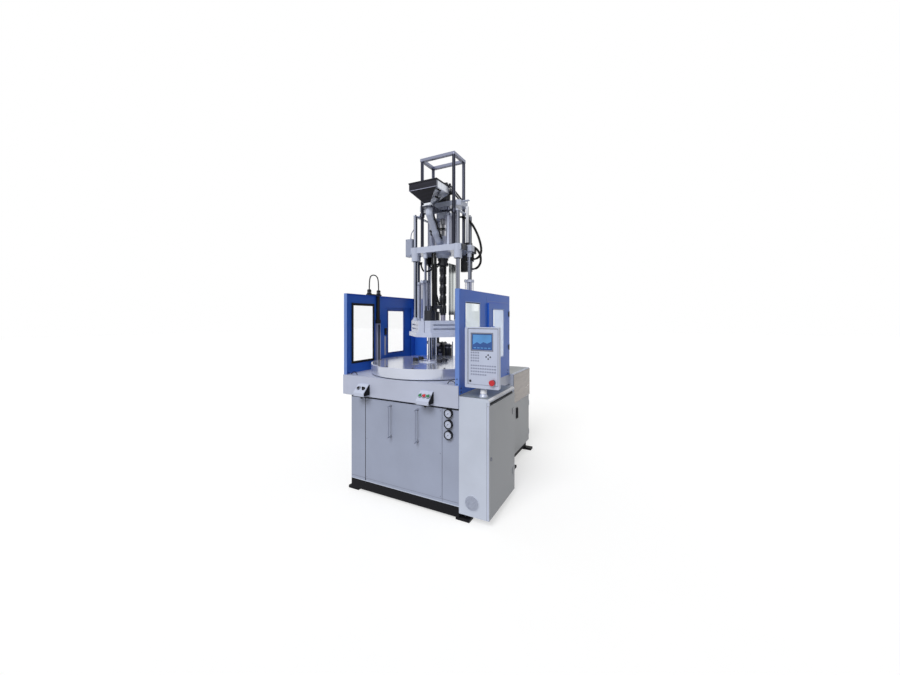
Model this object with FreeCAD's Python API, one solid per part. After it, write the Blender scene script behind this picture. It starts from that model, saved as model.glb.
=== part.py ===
import FreeCAD, Part
import math
import os

from FreeCAD import Vector

# Vertical injection moulding machine with a two-station rotary table. Millimetres.
# Working frame: X = 0 is the machine's centre plane, Y = 0 the front face of the base,
# Z = 0 the floor. The export shifts everything so that the origin lies on the floor
# under the middle of the bounding box.

RUN = 0.05              # radial running fit
GAP = 0.5               # clear gap between pieces that move past each other
SHEET = 3.0             # sheet metal thickness
FAR = 4000.0            # length of a cut that goes right through

# Rotary table, and the light curtain's post that stands beside its rim
TABLE_Y, TABLE_R = 560.5, 579.0
TABLE_Z0, TABLE_Z1 = 1071.5, 1164.0
EJECTOR_R, TABLE_CHAMFER = 40.0, 4.0
CURTAIN_Y, CURTAIN_W, CURTAIN_DEEP = 478.0, 56.0, 26.0
CURTAIN_SPLIT = 1577.0                  # height where the post gets narrower
CURTAIN_LEGS = (-147.0, 0.0)            # cable glands along Y from the post
CURTAIN_AIR = 5.0                       # post to table rim

# Base: beams on feet, a housing of sheet metal and the cast bed
BED_X = TABLE_R + CURTAIN_AIR + CURTAIN_DEEP
BED_Y0, BED_Y1 = -15.0, TABLE_Y + TABLE_R + 80.5
BED_Z1, BED_PLATE, BED_WALL = 1064.0, 60.0, 25.0
BED_STEP = 8.0                          # shadow gap under the bed's apron
BASE_X0, BASE_X1 = -517.0, BED_X
BASE_Z0, BASE_Z1 = 108.0, 877.0
BASE_Y1 = BED_Y1 - 20.0
BEAM_Z0, BEAM_W = 24.0, 90.0
FOOT = (119.5, 79.0)                    # length across, length along
FOOT_OUT = 85.5                         # foot past the beam's outer face
COVER_X0, COVER_X1 = -342.0, 457.0
COVER_Z0, COVER_Z1 = 140.0, 862.0
COVER_LAP, COVER_CORNER = 22.0, 4.0
HOUSING_RIM = 40.0                      # inward ledge under the bed
HANDLE_X = (-55.0, 224.0)
HANDLE_Z0, HANDLE_Z1 = 564.0, 832.0
HANDLE_R, HANDLE_OUT = 6.0, 42.0

# Clamp: front tie bar on the table's axis, two rear tie bars outside the table
TIE_R, TIE_X, TIE_AIR = 22.0, 270.0, 11.0
REAR_TIE = (TIE_X, TABLE_Y + math.sqrt((TABLE_R + TIE_AIR + TIE_R) ** 2 - TIE_X ** 2))
HUB_R = 45.0
BEARING_R0, BEARING_W, BEARING_DEEP = 240.0, 70.0, 32.0
INJ_Y = 828.0                           # mould, barrel and clamp cylinder axis
STATION = INJ_Y - TABLE_Y               # mould station's radius on the table
PLATEN_Z0, PLATEN_STEP, PLATEN_Z1 = 1410.0, 45.0, 1572.0
PLATEN_HALF, PLATEN_NOSE, PLATEN_FLANGE = TIE_X + 60.0, 70.0, 35.0
SLOT_Z, SLOT_H, SLOT_DEEP, SLOT_END = (1482.0, 1522.0), 15.0, 16.0, 30.0
NOSE_GROOVE, NOZZLE_HOLE = 8.0, (50.0, 75.0)
PLATEN_Y0, PLATEN_Y1 = TABLE_Y - 105.5, REAR_TIE[1] + 60.0
BOLT_PITCH, BOLT_R, BOLT_DEEP = 105.0, 8.0, 40.0
NUT_R, NUT_H = 58.0, 102.0
NUT_SCREWS = ((-30.0, -28.0), (30.0, -28.0))
NUT_SCREW_R, NUT_SCREW_H, NUT_DROP = 9.0, 45.0, 14.0
HEAD_Z0, HEAD_Z1 = 410.0, 470.0
TIE_Z0 = 350.0
CLAMP_R, CLAMP_BORE, CLAMP_Z0 = 140.0, 110.0, 660.0
CLAMP_FLANGE, CLAMP_LIP, CLAMP_FLOOR, CLAMP_ROOF = 40.0, 45.0, 30.0, 14.0
CLAMP_ROD_R = 70.0
HEAD_EDGE = 75.0                        # crosshead past its bars' centres
PISTON_Z0, PISTON_H = 770.0, 60.0

# Injection unit on four columns
COLUMN_R, COLUMN_X, COLUMN_Y = 20.0, 254.0, (680.0, 965.0)
JUNCTION_X, JUNCTION_Y, JUNCTION_Z = -385.0, (680.0, 750.0), (2262.0, 2450.0)
COLUMN_Z1 = 2675.0
CARRIAGE_Z0, CARRIAGE_Z1 = 2283.0, 2345.0
CARRIAGE_X, CARRIAGE_Y0, CARRIAGE_Y1 = 300.0, 655.0, 1010.0
EAR_X, EAR_HALF = 350.0, 40.0
BOSS_R, BOSS_Z0 = 41.5, 2200.0
LIFT = (28.0, 23.0, 14.0, 76.0)         # body, bore and rod radii, cap width
LIFT_AT = ((-310.0, INJ_Y), (310.0, INJ_Y), (-130.0, 680.0))
LIFT_Z1 = 1992.0
SHOT = (25.0, 20.0, 12.5, 60.0)
CAP_FOOT, CAP_HEAD, CYL_FLOOR, CYL_ROOF = 22.0, 26.0, 14.0, 20.0
PISTON_T = 26.0
SHOT_X, SHOT_DY = 105.0, 70.0
SHOT_Z1, SHOT_REST = 2690.0, 60.0
DRIVE_Z0, DRIVE_Z1 = 2757.0, 2810.0
DRIVE_X, DRIVE_HALF, DRIVE_CORNER = 250.0, 94.5, 24.0
THRUST_R, THRUST_DEEP = 70.0, 102.0     # bearing housing under the drive plate
COUPLING_R, COUPLING_H = 30.0, 54.0
MOTOR_R, MOTOR_Z1, MOTOR_FLANGE, MOTOR_FOOT, MOTOR_CAP = 75.0, 3030.0, 82.0, 24.0, 60.0
PORT_R, PORT_DY, PORT_OUT, PORT_UP = 17.0, 26.0, 45.0, 120.0
BARREL_R, SCREW_R, SHANK_R = 31.0, 16.0, 20.0
BARREL_Z0 = 1631.0
SHIELD_X, SHIELD_HALF, SHIELD_Z1, SHIELD_RISE = 110.0, 77.5, 2168.0, 60.0
SHIELD_LIP, SHIELD_STRAP = 25.0, 24.0
NECK_R0, NECK_R1, NECK_DEEP, NECK_RIM = 52.0, 90.0, 52.0, 20.0
NOZZLE_Z0, NOZZLE_R, NOZZLE_BORE, NOZZLE_HEAD = 1415.0, (9.0, 17.0, 27.0), 3.0, 66.0
THROAT, THROAT_Z1, THROAT_ROUND = 110.0, 2465.0, 10.0
INLET_Z = CARRIAGE_Z1 + 60.0
POST_R, POST_X, POST_DY = 17.5, 190.0, 114.5
RING_Z1, RING_BAR = 3295.0, 32.0
SHELF_Z0, SHELF_T, TONGUE = 2700.0, 12.0, 55.0
COLLAR_DROP, COLLAR_WALL = 28.0, 7.0
HOPPER_HALF, HOPPER_Y0, HOPPER_Y1 = 157.0, 420.0, 670.0
HOPPER_RIM_Z0, HOPPER_RIM_Z1 = 2855.0, 2935.0
PIPE_R, PIPE_WALL, PIPE_DROP = 35.0, 5.0, 60.0
PIPE_BAND_W, PIPE_BAND_T, PIPE_BAND_AT = 26.0, 7.0, 190.0
HOPPER_FOOT, HOPPER_NECK, HOPPER_PLATE, HOPPER_NECK_H = 50.0, 38.0, 8.0, 30.0

# Guards, electrical cabinet, operator panel, hydraulic power unit
GUARD_X, GUARD_Y1, GUARD_Z1 = BED_X, BASE_Y1 + 7.0, 1833.0
GUARD_Z0 = (979.0, 990.0)               # left, right
FLANGE, REAR_FLANGE = 34.0, 172.0
WIN_Y, WIN_Z, WIN_CORNER = (110.0, 410.0), (1170.0, 1730.0), 22.0
DOOR_Y, DOOR_Z = (GUARD_Y1 - 630.0, GUARD_Y1 - 57.0), (1085.0, 1737.0)
DOOR_WIN_Y, DOOR_WIN_Z = (DOOR_Y[0] + 103.0, DOOR_Y[1] - 170.0), (1210.0, 1680.0)
DOOR_T = 18.0
GUARD_HINGE_Z = (1290.0, 1640.0)
PANE_T, PANE_LAP, DOOR_LAP = 4.0, 15.0, 22.0
CAB_W, CAB_Y1, CAB_Z0, CAB_Z1 = 256.0, 605.5, 60.0, 981.0
CAB_X1 = BASE_X1 + CAB_W
CAB_DOOR_T, CAB_RIM = 20.0, 24.0
CAB_LID, CAB_SLOT, CAB_BEVEL = 26.0, 26.0, 14.0
CAB_HINGE_Z = (240.0, 770.0)
HMI_W, HMI_PAST = 285.0, 69.0           # width, and reach past the cabinet's side
HMI_X0, HMI_X1, HMI_Y0, HMI_T = CAB_X1 + HMI_PAST - HMI_W, CAB_X1 + HMI_PAST, 25.0, 35.0
HMI_BACK, HMI_INSET = 55.0, (40.0, 60.0)    # rear housing: depth, inset left and right
HMI_Z0, HMI_Z1 = 1055.0, 1528.0
SCREEN_X, SCREEN_Z, SCREEN_DEEP = (60.0, 230.0), (1352.0, 1477.0), 6.0
PEDESTAL, PEDESTAL_NECK = (CAB_X1 - 76.0, 70.0, 33.5), 22.0
ESTOP_X, ESTOP_Z, ESTOP_R = HMI_X1 - 49.0, 1109.0, 22.0
UNIT_X0, UNIT_X1, UNIT_Z1 = -600.0, 654.0, 992.0
UNIT_LONG, UNIT_RIM = 615.5, 60.0
UNIT_Y0 = BED_Y1 + 2.0
UNIT_Y1 = UNIT_Y0 + UNIT_LONG
UNIT_SEAM, UNIT_DOOR_T = 665.0, 14.0
UNIT_HINGE_Z = (210.0, 560.0)
UNIT_LATCH = (UNIT_Y0 + 118.0, 586.0)   # Y and Z of the swing handle's shaft
LATCH_R, LATCH_HALF, LATCH_LONG = 6.0, 12.0, 96.0
TANK_AIR, TANK_X1, TANK_Z1, TANK_T = 30.0, 140.0, 560.0, 4.0
PUMP_X = (150.0, 240.0, 290.0, 590.0)   # pump, bell housing and electric motor along X
PUMP_HALF, DRIVE_R, DRIVE_UP = 70.0, 110.0, 170.0
# valve stack on the power unit's roof: block, valve sections in a row along X, filter
STACK_X0, STACK_Y0, STACK_DEEP, STACK_UP = -480.0, UNIT_Y0 + 60.0, 130.0, 130.0
SECTION_W, SECTION_AIR, SECTION_UP = 64.0, 8.0, (205.0, 160.0, 180.0)
COIL_R, COIL_OUT, COIL_DROP = 22.0, 46.0, 30.0
FILTER_R, FILTER_UP, STACK_INSET = 45.0, 150.0, 15.0
GAUGE_X, GAUGE_Z, GAUGE_R = BASE_X1 - 86.0, (667.0, 752.0, 839.0), 35.0
GAUGE_OUT, GAUGE_RIM, GAUGE_RECESS, GAUGE_HOLE, GAUGE_STEM = 26.0, 6.0, 4.0, 12.0, 7.0
BOX_W, BOX_OUT, BOX_Z0, BOX_Z1, BOX_BEVEL = 120.0, 80.0, 900.0, 1000.0, 70.0
BOX_LEFT, BOX_RIGHT = -347.0, 325.0
BUTTON_R, BUTTON_OUT, BUTTON_RING, BUTTON_PITCH = 13.0, 11.0, 4.0, 38.0
BUTTON_LEFT = 28.0                      # left box's button from its middle

GLAND_R, GLAND_H, BRACKET_T = 13.0, 49.0, 12.0
HINGE_PIN, HINGE_R, HINGE_SPAN, HINGE_LUG, HINGE_ARM = 4.0, 8.0, 32.0, 14.0, 3.0
CURTAIN_CABLE_R, HEATER_CABLE_R, HOSE_R = 6.0, 11.0, 9.0
HEATER_X = (-66.0, -38.0)
MANIFOLD_X, MANIFOLD_DEEP, MANIFOLD_Z = (120.0, 240.0), 50.0, (2105.0, 2420.0)
GRIP_OUT, GRIP_R, GRIP_HALF, GRIP_AT = 26.0, 8.0, 70.0, (DOOR_Y[0] + 57.0, 1450.0)

# Shift of the working frame to the part's frame: the widest pieces are the left door's
# grip and the operator panel, the longest the button boxes and the power unit
LEFT_MOST = -(GUARD_X + SHEET + GAP + DOOR_T + GRIP_OUT + GRIP_R)
SHIFT_X = -(LEFT_MOST + HMI_X1) / 2
SHIFT_Y = -(BED_Y0 - BOX_OUT + UNIT_Y1) / 2


# ---------------------------------------------------------------- simple forms

def box(x0, x1, y0, y1, z0, z1):
    return Part.makeBox(x1 - x0, y1 - y0, z1 - z0, Vector(x0, y0, z0))


def rod(x, y, z0, z1, r):
    return Part.makeCylinder(r, z1 - z0, Vector(x, y, z0))


def bar_x(x0, x1, y, z, r):
    return Part.makeCylinder(r, x1 - x0, Vector(x0, y, z), Vector(1, 0, 0))


def bar_y(x, y0, y1, z, r):
    return Part.makeCylinder(r, y1 - y0, Vector(x, y0, z), Vector(0, 1, 0))


def prism_z(points, z0, z1):
    wire = Part.makePolygon([Vector(x, y, z0) for x, y in points + points[:1]])
    return Part.Face(wire).extrude(Vector(0, 0, z1 - z0))


def prism_y(points, y0, y1):
    wire = Part.makePolygon([Vector(x, y0, z) for x, z in points + points[:1]])
    return Part.Face(wire).extrude(Vector(0, y1 - y0, 0))


def prism_x(points, x0, x1):
    wire = Part.makePolygon([Vector(x0, y, z) for y, z in points + points[:1]])
    return Part.Face(wire).extrude(Vector(x1 - x0, 0, 0))


def turned(x, y, profile):
    """Revolve a closed (radius, z) outline about the vertical through x, y."""
    wire = Part.makePolygon([Vector(x + r, y, z) for r, z in profile + profile[:1]])
    return Part.Face(wire).revolve(Vector(x, y, 0), Vector(0, 0, 1), 360)


def join(*shapes):
    whole = shapes[0]
    if len(shapes) > 1:
        whole = shapes[0].multiFuse(list(shapes[1:]))
    return whole.removeSplitter()


def cut(shape, *tools):
    return shape.cut(list(tools))


def group(*shapes):
    return Part.makeCompound(list(shapes))


def mirror(shape):
    return shape.mirror(Vector(0, 0, 0), Vector(1, 0, 0))


def rounded_box(x0, x1, y0, y1, z0, z1, r, axis="z"):
    solid = box(x0, x1, y0, y1, z0, z1)
    way = {"x": Vector(1, 0, 0), "y": Vector(0, 1, 0), "z": Vector(0, 0, 1)}[axis]
    edges = []
    for edge in solid.Edges:
        if abs(edge.tangentAt(edge.FirstParameter).dot(way)) > 0.9:
            edges.append(edge)
    return solid.makeFillet(r, edges)


def window(y, z, x0, x1):
    return rounded_box(x0, x1, y[0], y[1], z[0], z[1], WIN_CORNER, "x")


def cord(points, radius):
    """Tube along straight runs joined by tangent arcs, one arc at each inner point."""
    places = [Vector(*p) for p in points]
    edges = []
    start = places[0]
    for before, corner, after in zip(places, places[1:], places[2:]):
        back = (before - corner).normalize()
        on = (after - corner).normalize()
        turn = math.pi - back.getAngle(on)
        shorter = min((corner - before).Length, (after - corner).Length)
        reach = 0.45 * shorter
        arc_radius = reach / math.tan(turn / 2)
        first = corner + back * reach
        last = corner + on * reach
        middle = (back + on).normalize()
        centre = corner + middle * (arc_radius / math.cos(turn / 2))
        top = centre - middle * arc_radius
        edges.append(Part.makeLine(start, first))
        edges.append(Part.Arc(first, top, last).toShape())
        start = last
    edges.append(Part.makeLine(start, places[-1]))
    path = Part.Wire(edges)
    along = (places[1] - places[0]).normalize()
    section = Part.Wire(Part.makeCircle(radius, places[0], along))
    return path.makePipeShell([section], True, False)


def hinge_pins(x, y, heights, root):
    """Fixed halves of hinges: a pin, two knuckles and their lugs to the box of the root."""
    pieces = []
    for z in heights:
        low, high = z - HINGE_SPAN, z + HINGE_SPAN
        pieces.append(rod(x, y, low, high, HINGE_PIN))
        for end in (low, high - HINGE_LUG):
            pieces.append(rod(x, y, end, end + HINGE_LUG, HINGE_R))
            pieces.append(box(*root, end, end + HINGE_LUG))
    return pieces


def hinge_knuckles(x, y, heights, root_y):
    """Moving halves, bored to run on the pins, with an arm to the door's edge."""
    pieces = []
    half = HINGE_SPAN - HINGE_LUG - GAP
    for z in heights:
        arm = box(x - HINGE_ARM, x + HINGE_ARM, root_y, y, z - half, z + half)
        knuckle = join(rod(x, y, z - half, z + half, HINGE_R), arm)
        pieces.append(cut(knuckle, rod(x, y, z - HINGE_SPAN, z + HINGE_SPAN, HINGE_PIN + RUN)))
    return pieces


# ---------------------------------------------------------------- base and bed

def base_beams():
    z0, z1 = BEAM_Z0, BASE_Z0
    inner0, inner1 = BASE_X0 + BEAM_W, BASE_X1 - BEAM_W
    pieces = [box(BASE_X0, inner0, 0, UNIT_Y1, z0, z1),
              box(inner1, BASE_X1, 0, UNIT_Y1, z0, z1)]
    for y in (0, BASE_Y1 - BEAM_W, UNIT_Y1 - BEAM_W):
        pieces.append(box(inner0, inner1, y, y + BEAM_W, z0, z1))
    across, along = FOOT
    for y in (8.0, BASE_Y1 - along, UNIT_Y1 - along - 8.0):
        right = BASE_X1 + FOOT_OUT
        left = BASE_X0 - FOOT_OUT / 2
        pieces.append(box(right - across, right, y, y + along, 0, z0))
        pieces.append(box(left, left + across, y, y + along, 0, z0))
    return join(*pieces)


def base_housing():
    outer = box(BASE_X0, BASE_X1, 0, BASE_Y1, BASE_Z0, BASE_Z1)
    inner = box(BASE_X0 + SHEET, BASE_X1 - SHEET, SHEET, BASE_Y1 - SHEET, BASE_Z0, BASE_Z1)
    lap = COVER_LAP
    opening = box(COVER_X0 + lap, COVER_X1 - lap, -1, SHEET + 1, COVER_Z0 + lap, COVER_Z1 - lap)
    rim = HOUSING_RIM
    ledge = cut(box(BASE_X0, BASE_X1, 0, BASE_Y1, BASE_Z1 - SHEET, BASE_Z1),
                box(BASE_X0 + rim, BASE_X1 - rim, rim, BASE_Y1 - rim, 0, BASE_Z1))
    holes = [bar_y(GAUGE_X, -1, SHEET + 1, z, GAUGE_HOLE) for z in GAUGE_Z]
    return join(cut(outer, inner, opening, *holes), ledge)


def front_cover():
    return rounded_box(COVER_X0, COVER_X1, -SHEET, 0, COVER_Z0, COVER_Z1, COVER_CORNER, "y")


def cover_handles():
    handles = []
    out = -SHEET - HANDLE_OUT
    for x in HANDLE_X:
        parts = [rod(x, out, HANDLE_Z0, HANDLE_Z1, HANDLE_R)]
        for z in (HANDLE_Z0, HANDLE_Z1):
            parts.append(bar_y(x, out, -SHEET, z, HANDLE_R))
            parts.append(Part.makeSphere(HANDLE_R, Vector(x, out, z)))
        handles.append(join(*parts))
    return group(*handles)


def tie_places():
    x, y = REAR_TIE
    return ((0.0, TABLE_Y), (-x, y), (x, y))


def bed_plate():
    step = BASE_Z1 + BED_STEP
    top = box(-BED_X, BED_X, BED_Y0, BED_Y1, step, BED_Z1)
    foot = box(-BED_X + 12, BED_X - 12, 12, BED_Y1 - 12, BASE_Z1, step)
    wall = BED_WALL
    hollow = box(-BED_X + wall, BED_X - wall, wall, BED_Y1 - wall, BASE_Z1, BED_Z1 - BED_PLATE)
    tools = [hollow]
    for x, y in tie_places():
        tools.append(rod(x, y, 0, BED_Z1 + 1, HUB_R))
    seat_z = TABLE_Z0 - GAP - BEARING_DEEP
    tools.append(cut(rod(0, TABLE_Y, seat_z, BED_Z1 + 1, BEARING_R0 + BEARING_W),
                     rod(0, TABLE_Y, 0, BED_Z1 + 2, BEARING_R0)))
    return cut(join(top, foot), *tools)


def tie_bar_bushes():
    bushes = []
    for x, y in tie_places():
        top = BED_Z1
        if x == 0:
            top = TABLE_Z1 - TABLE_CHAMFER
        bushes.append(cut(rod(x, y, BED_Z1 - BED_PLATE, top, HUB_R), rod(x, y, 0, FAR, TIE_R + RUN)))
    return group(*bushes)


def table_bearing():
    top = TABLE_Z0 - GAP
    return cut(rod(0, TABLE_Y, top - BEARING_DEEP, top, BEARING_R0 + BEARING_W),
               rod(0, TABLE_Y, 0, FAR, BEARING_R0))


def bolt_grid():
    """Tapped holes for one mould: two rectangles, 2 x 4 holes about the station's centre."""
    return [(i * BOLT_PITCH, j * BOLT_PITCH) for i in (-2, -1, 1, 2) for j in (-1, 1)]


def rotary_table():
    disc = rod(0, TABLE_Y, TABLE_Z0, TABLE_Z1, TABLE_R)
    rim = [e for e in disc.Edges if e.Curve.TypeId == "Part::GeomCircle"]
    disc = disc.makeChamfer(TABLE_CHAMFER, rim)
    tools = [rod(0, TABLE_Y, TABLE_Z0 - 1, TABLE_Z1 + 1, HUB_R + RUN)]
    for side in (-1, 1):
        y = TABLE_Y + side * STATION
        tools.append(rod(0, y, TABLE_Z0 - 1, TABLE_Z1 + 1, EJECTOR_R))
        for dx, dy in bolt_grid():
            tools.append(rod(dx, y + dy, TABLE_Z1 - BOLT_DEEP, TABLE_Z1 + 1, BOLT_R))
    return cut(disc, *tools)


def clamp_cylinder():
    top = BED_Z1 - BED_PLATE
    body = join(rod(0, INJ_Y, CLAMP_Z0, top, CLAMP_R),
                rod(0, INJ_Y, top - CLAMP_FLANGE, top, CLAMP_R + CLAMP_LIP))
    bore = rod(0, INJ_Y, CLAMP_Z0 + CLAMP_FLOOR, top - CLAMP_ROOF, CLAMP_BORE)
    gland = rod(0, INJ_Y, CLAMP_Z0 - 1, CLAMP_Z0 + CLAMP_FLOOR + 1, CLAMP_ROD_R + RUN)
    return cut(body, bore, gland)


def clamp_rod():
    return join(rod(0, INJ_Y, HEAD_Z1, PISTON_Z0, CLAMP_ROD_R),
                rod(0, INJ_Y, PISTON_Z0, PISTON_Z0 + PISTON_H, CLAMP_BORE - RUN))


def crosshead():
    edge = HEAD_EDGE
    rear = REAR_TIE[0] + edge
    y0, y1 = REAR_TIE[1] - edge - 15, REAR_TIE[1] + edge - 15
    outline = [(-edge, TABLE_Y - edge), (edge, TABLE_Y - edge), (rear, y0), (rear, y1),
               (-rear, y1), (-rear, y0)]
    plate = prism_z(outline, HEAD_Z0, HEAD_Z1)
    return cut(plate, *[rod(x, y, 0, FAR, TIE_R) for x, y in tie_places()])


def tie_bars():
    bars = []
    for x, y in tie_places():
        bars.append(rod(x, y, TIE_Z0, PLATEN_Z1 + NUT_H - NUT_DROP, TIE_R))
    return group(*bars)


def tie_bar_nuts():
    """Split nuts above the platen and below the crosshead; the front one has two clamp screws."""
    nuts = []
    top = PLATEN_Z1 + NUT_H
    for x, y in tie_places():
        bore = rod(x, y, 0, FAR, TIE_R)
        nuts.append(cut(rod(x, y, PLATEN_Z1, top, NUT_R), bore))
        nuts.append(cut(rod(x, y, TIE_Z0 + 8, HEAD_Z0, NUT_R), bore))
        if x == 0:
            for dx, dy in NUT_SCREWS:
                nuts.append(rod(x + dx, y + dy, top, top + NUT_SCREW_H, NUT_SCREW_R))
    return group(*nuts)


# ---------------------------------------------------------------- clamp platen and columns

def platen_outline(grow):
    half = PLATEN_HALF + grow
    nose = PLATEN_NOSE + grow / 2
    y0, y1 = PLATEN_Y0 - grow / 4, PLATEN_Y1
    corner_y = y0 + half - nose
    return [(-nose, y0), (nose, y0), (half, corner_y), (half, y1), (-half, y1), (-half, corner_y)]


def platen():
    lower = prism_z(platen_outline(PLATEN_FLANGE), PLATEN_Z0, PLATEN_Z0 + PLATEN_STEP)
    upper = prism_z(platen_outline(0.0), PLATEN_Z0 + PLATEN_STEP, PLATEN_Z1)
    tools = [rod(x, y, 0, FAR, TIE_R) for x, y in tie_places()]
    mouth, top = NOZZLE_HOLE
    tools.append(turned(0, INJ_Y, [(0, PLATEN_Z0 - 1), (mouth, PLATEN_Z0 - 1), (mouth, PLATEN_Z0 + 60),
                                   (top, PLATEN_Z1 + 1), (0, PLATEN_Z1 + 1)]))
    for dx, dy in bolt_grid():
        tools.append(rod(dx, INJ_Y + dy, PLATEN_Z0 - 1, PLATEN_Z0 + BOLT_DEEP, BOLT_R))
    # long slots milled into the slanted front faces
    length = math.hypot(PLATEN_HALF - PLATEN_NOSE, PLATEN_HALF - PLATEN_NOSE) - 2 * SLOT_END
    inset = SLOT_END * math.sqrt(0.5)
    for z in SLOT_Z:
        slot = box(0, length, -1, SLOT_DEEP, z, z + SLOT_H)
        slot.rotate(Vector(0, 0, 0), Vector(0, 0, 1), 45)
        slot.translate(Vector(PLATEN_NOSE + inset, PLATEN_Y0 + inset, 0))
        tools.extend([slot, mirror(slot)])
    groove = NOSE_GROOVE / 2
    tools.append(box(-groove, groove, PLATEN_Y0 - PLATEN_FLANGE, PLATEN_Y0 + 12,
                     PLATEN_Z0 + PLATEN_STEP, PLATEN_Z1 + 1))
    return cut(join(lower, upper), *tools)


def guide_columns():
    pieces = []
    for sx in (-1, 1):
        for y in COLUMN_Y:
            pieces.append(rod(sx * COLUMN_X, y, PLATEN_Z1, COLUMN_Z1, COLUMN_R))
    return group(*pieces)


def cylinder_body(x, y, z0, z1, size):
    """Square-capped hydraulic cylinder, bored for its piston and its rod."""
    body_r, bore_r, rod_r, cap = size
    half = cap / 2
    caps = [box(x - half, x + half, y - half, y + half, low, high)
            for low, high in ((z0, z0 + CAP_FOOT), (z1 - CAP_HEAD, z1))]
    solid = join(rod(x, y, z0, z1, body_r), *caps)
    bore = rod(x, y, z0 + CYL_FLOOR, z1 - CYL_ROOF, bore_r)
    return cut(solid, bore, rod(x, y, z0 + CYL_FLOOR, FAR, rod_r + RUN))


def ram(x, y, piston_z0, top, size):
    body_r, bore_r, rod_r, cap = size
    piston = rod(x, y, piston_z0, piston_z0 + PISTON_T, bore_r - RUN)
    return join(piston, rod(x, y, piston_z0, top, rod_r))


def carriage_cylinders():
    return group(*[cylinder_body(x, y, PLATEN_Z1, LIFT_Z1, LIFT) for x, y in LIFT_AT])


def carriage_rods():
    return group(*[ram(x, y, PLATEN_Z1 + CAP_FOOT, CARRIAGE_Z0, LIFT) for x, y in LIFT_AT])


def barrel_guard():
    x, half, z0 = SHIELD_X, SHIELD_HALF, PLATEN_Z1
    y0, y1, rise = INJ_Y - half, INJ_Y + half, SHIELD_RISE
    side = box(x, x + SHEET, y0, y1, z0 + rise, SHIELD_Z1)
    lip = box(x - SHIELD_LIP, x + SHEET, y1 - SHEET, y1, z0 + rise, SHIELD_Z1)
    straps = [y0 + SHIELD_STRAP / 2, y1 - 1.5 * SHIELD_STRAP]
    feet = [box(x, x + SHEET, y, y + SHIELD_STRAP, z0, z0 + rise) for y in straps]
    pads = [box(x, x + SHIELD_LIP, y, y + SHIELD_STRAP, z0, z0 + 2 * SHEET) for y in straps]
    return join(side, lip, *feet, *pads)


# ---------------------------------------------------------------- injection carriage

def shot_places():
    return [(sx * SHOT_X, INJ_Y + sy * SHOT_DY) for sy in (-1, 1) for sx in (-1, 1)]


def carriage_plate():
    plate = box(-CARRIAGE_X, CARRIAGE_X, CARRIAGE_Y0, CARRIAGE_Y1, CARRIAGE_Z0, CARRIAGE_Z1)
    ears = box(-EAR_X, EAR_X, INJ_Y - EAR_HALF, INJ_Y + EAR_HALF, CARRIAGE_Z0, CARRIAGE_Z1)
    top, rim, low = CARRIAGE_Z0 + 1, CARRIAGE_Z0 - NECK_RIM, CARRIAGE_Z0 - NECK_DEEP
    neck = turned(0, INJ_Y, [(0, low), (NECK_R0, low), (NECK_R1, rim), (NECK_R1, top), (0, top)])
    bosses = []
    bores = [rod(0, INJ_Y, 0, FAR, BARREL_R)]
    for sx in (-1, 1):
        for y in COLUMN_Y:
            bosses.append(rod(sx * COLUMN_X, y, BOSS_Z0, CARRIAGE_Z1, BOSS_R))
            bores.append(rod(sx * COLUMN_X, y, 0, FAR, COLUMN_R + RUN))
    return cut(join(plate, ears, neck, *bosses), *bores)


def barrel():
    outline = [(SCREW_R + RUN, BARREL_Z0), (BARREL_R, BARREL_Z0), (BARREL_R, CARRIAGE_Z1),
               (SCREW_R + RUN, CARRIAGE_Z1)]
    return turned(0, INJ_Y, outline)


def nozzle():
    z0, z1 = NOZZLE_Z0, BARREL_Z0
    tip, neck, head = NOZZLE_R
    shoulder = z1 - NOZZLE_HEAD
    outline = [(NOZZLE_BORE, z0), (tip, z0), (neck, z0 + neck - tip), (neck, shoulder - head + neck),
               (head, shoulder), (head, z1), (BARREL_R - SCREW_R, z1), (NOZZLE_BORE, z0 + 90)]
    return turned(0, INJ_Y, outline)


def feed_throat():
    half = THROAT / 2
    block = rounded_box(-half, half, INJ_Y - half, INJ_Y + half, CARRIAGE_Z1, THROAT_Z1, THROAT_ROUND)
    inlet = bar_y(0, INJ_Y - half - 1, INJ_Y, INLET_Z, PIPE_R - PIPE_WALL)
    return cut(block, rod(0, INJ_Y, 0, FAR, SHANK_R + RUN), inlet)


def screw():
    tip = BARREL_Z0 + 42
    coupling = DRIVE_Z0 - THRUST_DEEP - GAP
    r = SCREW_R
    outline = [(0, tip), (4, tip + 4), (r, tip + 30), (r, tip + 48), (r - 5, tip + 52),
               (r - 5, tip + 70), (r, tip + 76), (r, CARRIAGE_Z1 + 20), (r, CARRIAGE_Z1 + 45),
               (SHANK_R, CARRIAGE_Z1 + 50), (SHANK_R, coupling - COUPLING_H),
               (COUPLING_R, coupling - COUPLING_H), (COUPLING_R, coupling), (SHANK_R, coupling),
               (SHANK_R, DRIVE_Z1 - 12), (0, DRIVE_Z1 - 12)]
    return turned(0, INJ_Y, outline)


def injection_cylinders():
    return group(*[cylinder_body(x, y, CARRIAGE_Z1, SHOT_Z1, SHOT) for x, y in shot_places()])


def injection_rods():
    return group(*[ram(x, y, CARRIAGE_Z1 + SHOT_REST, DRIVE_Z0, SHOT) for x, y in shot_places()])


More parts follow.
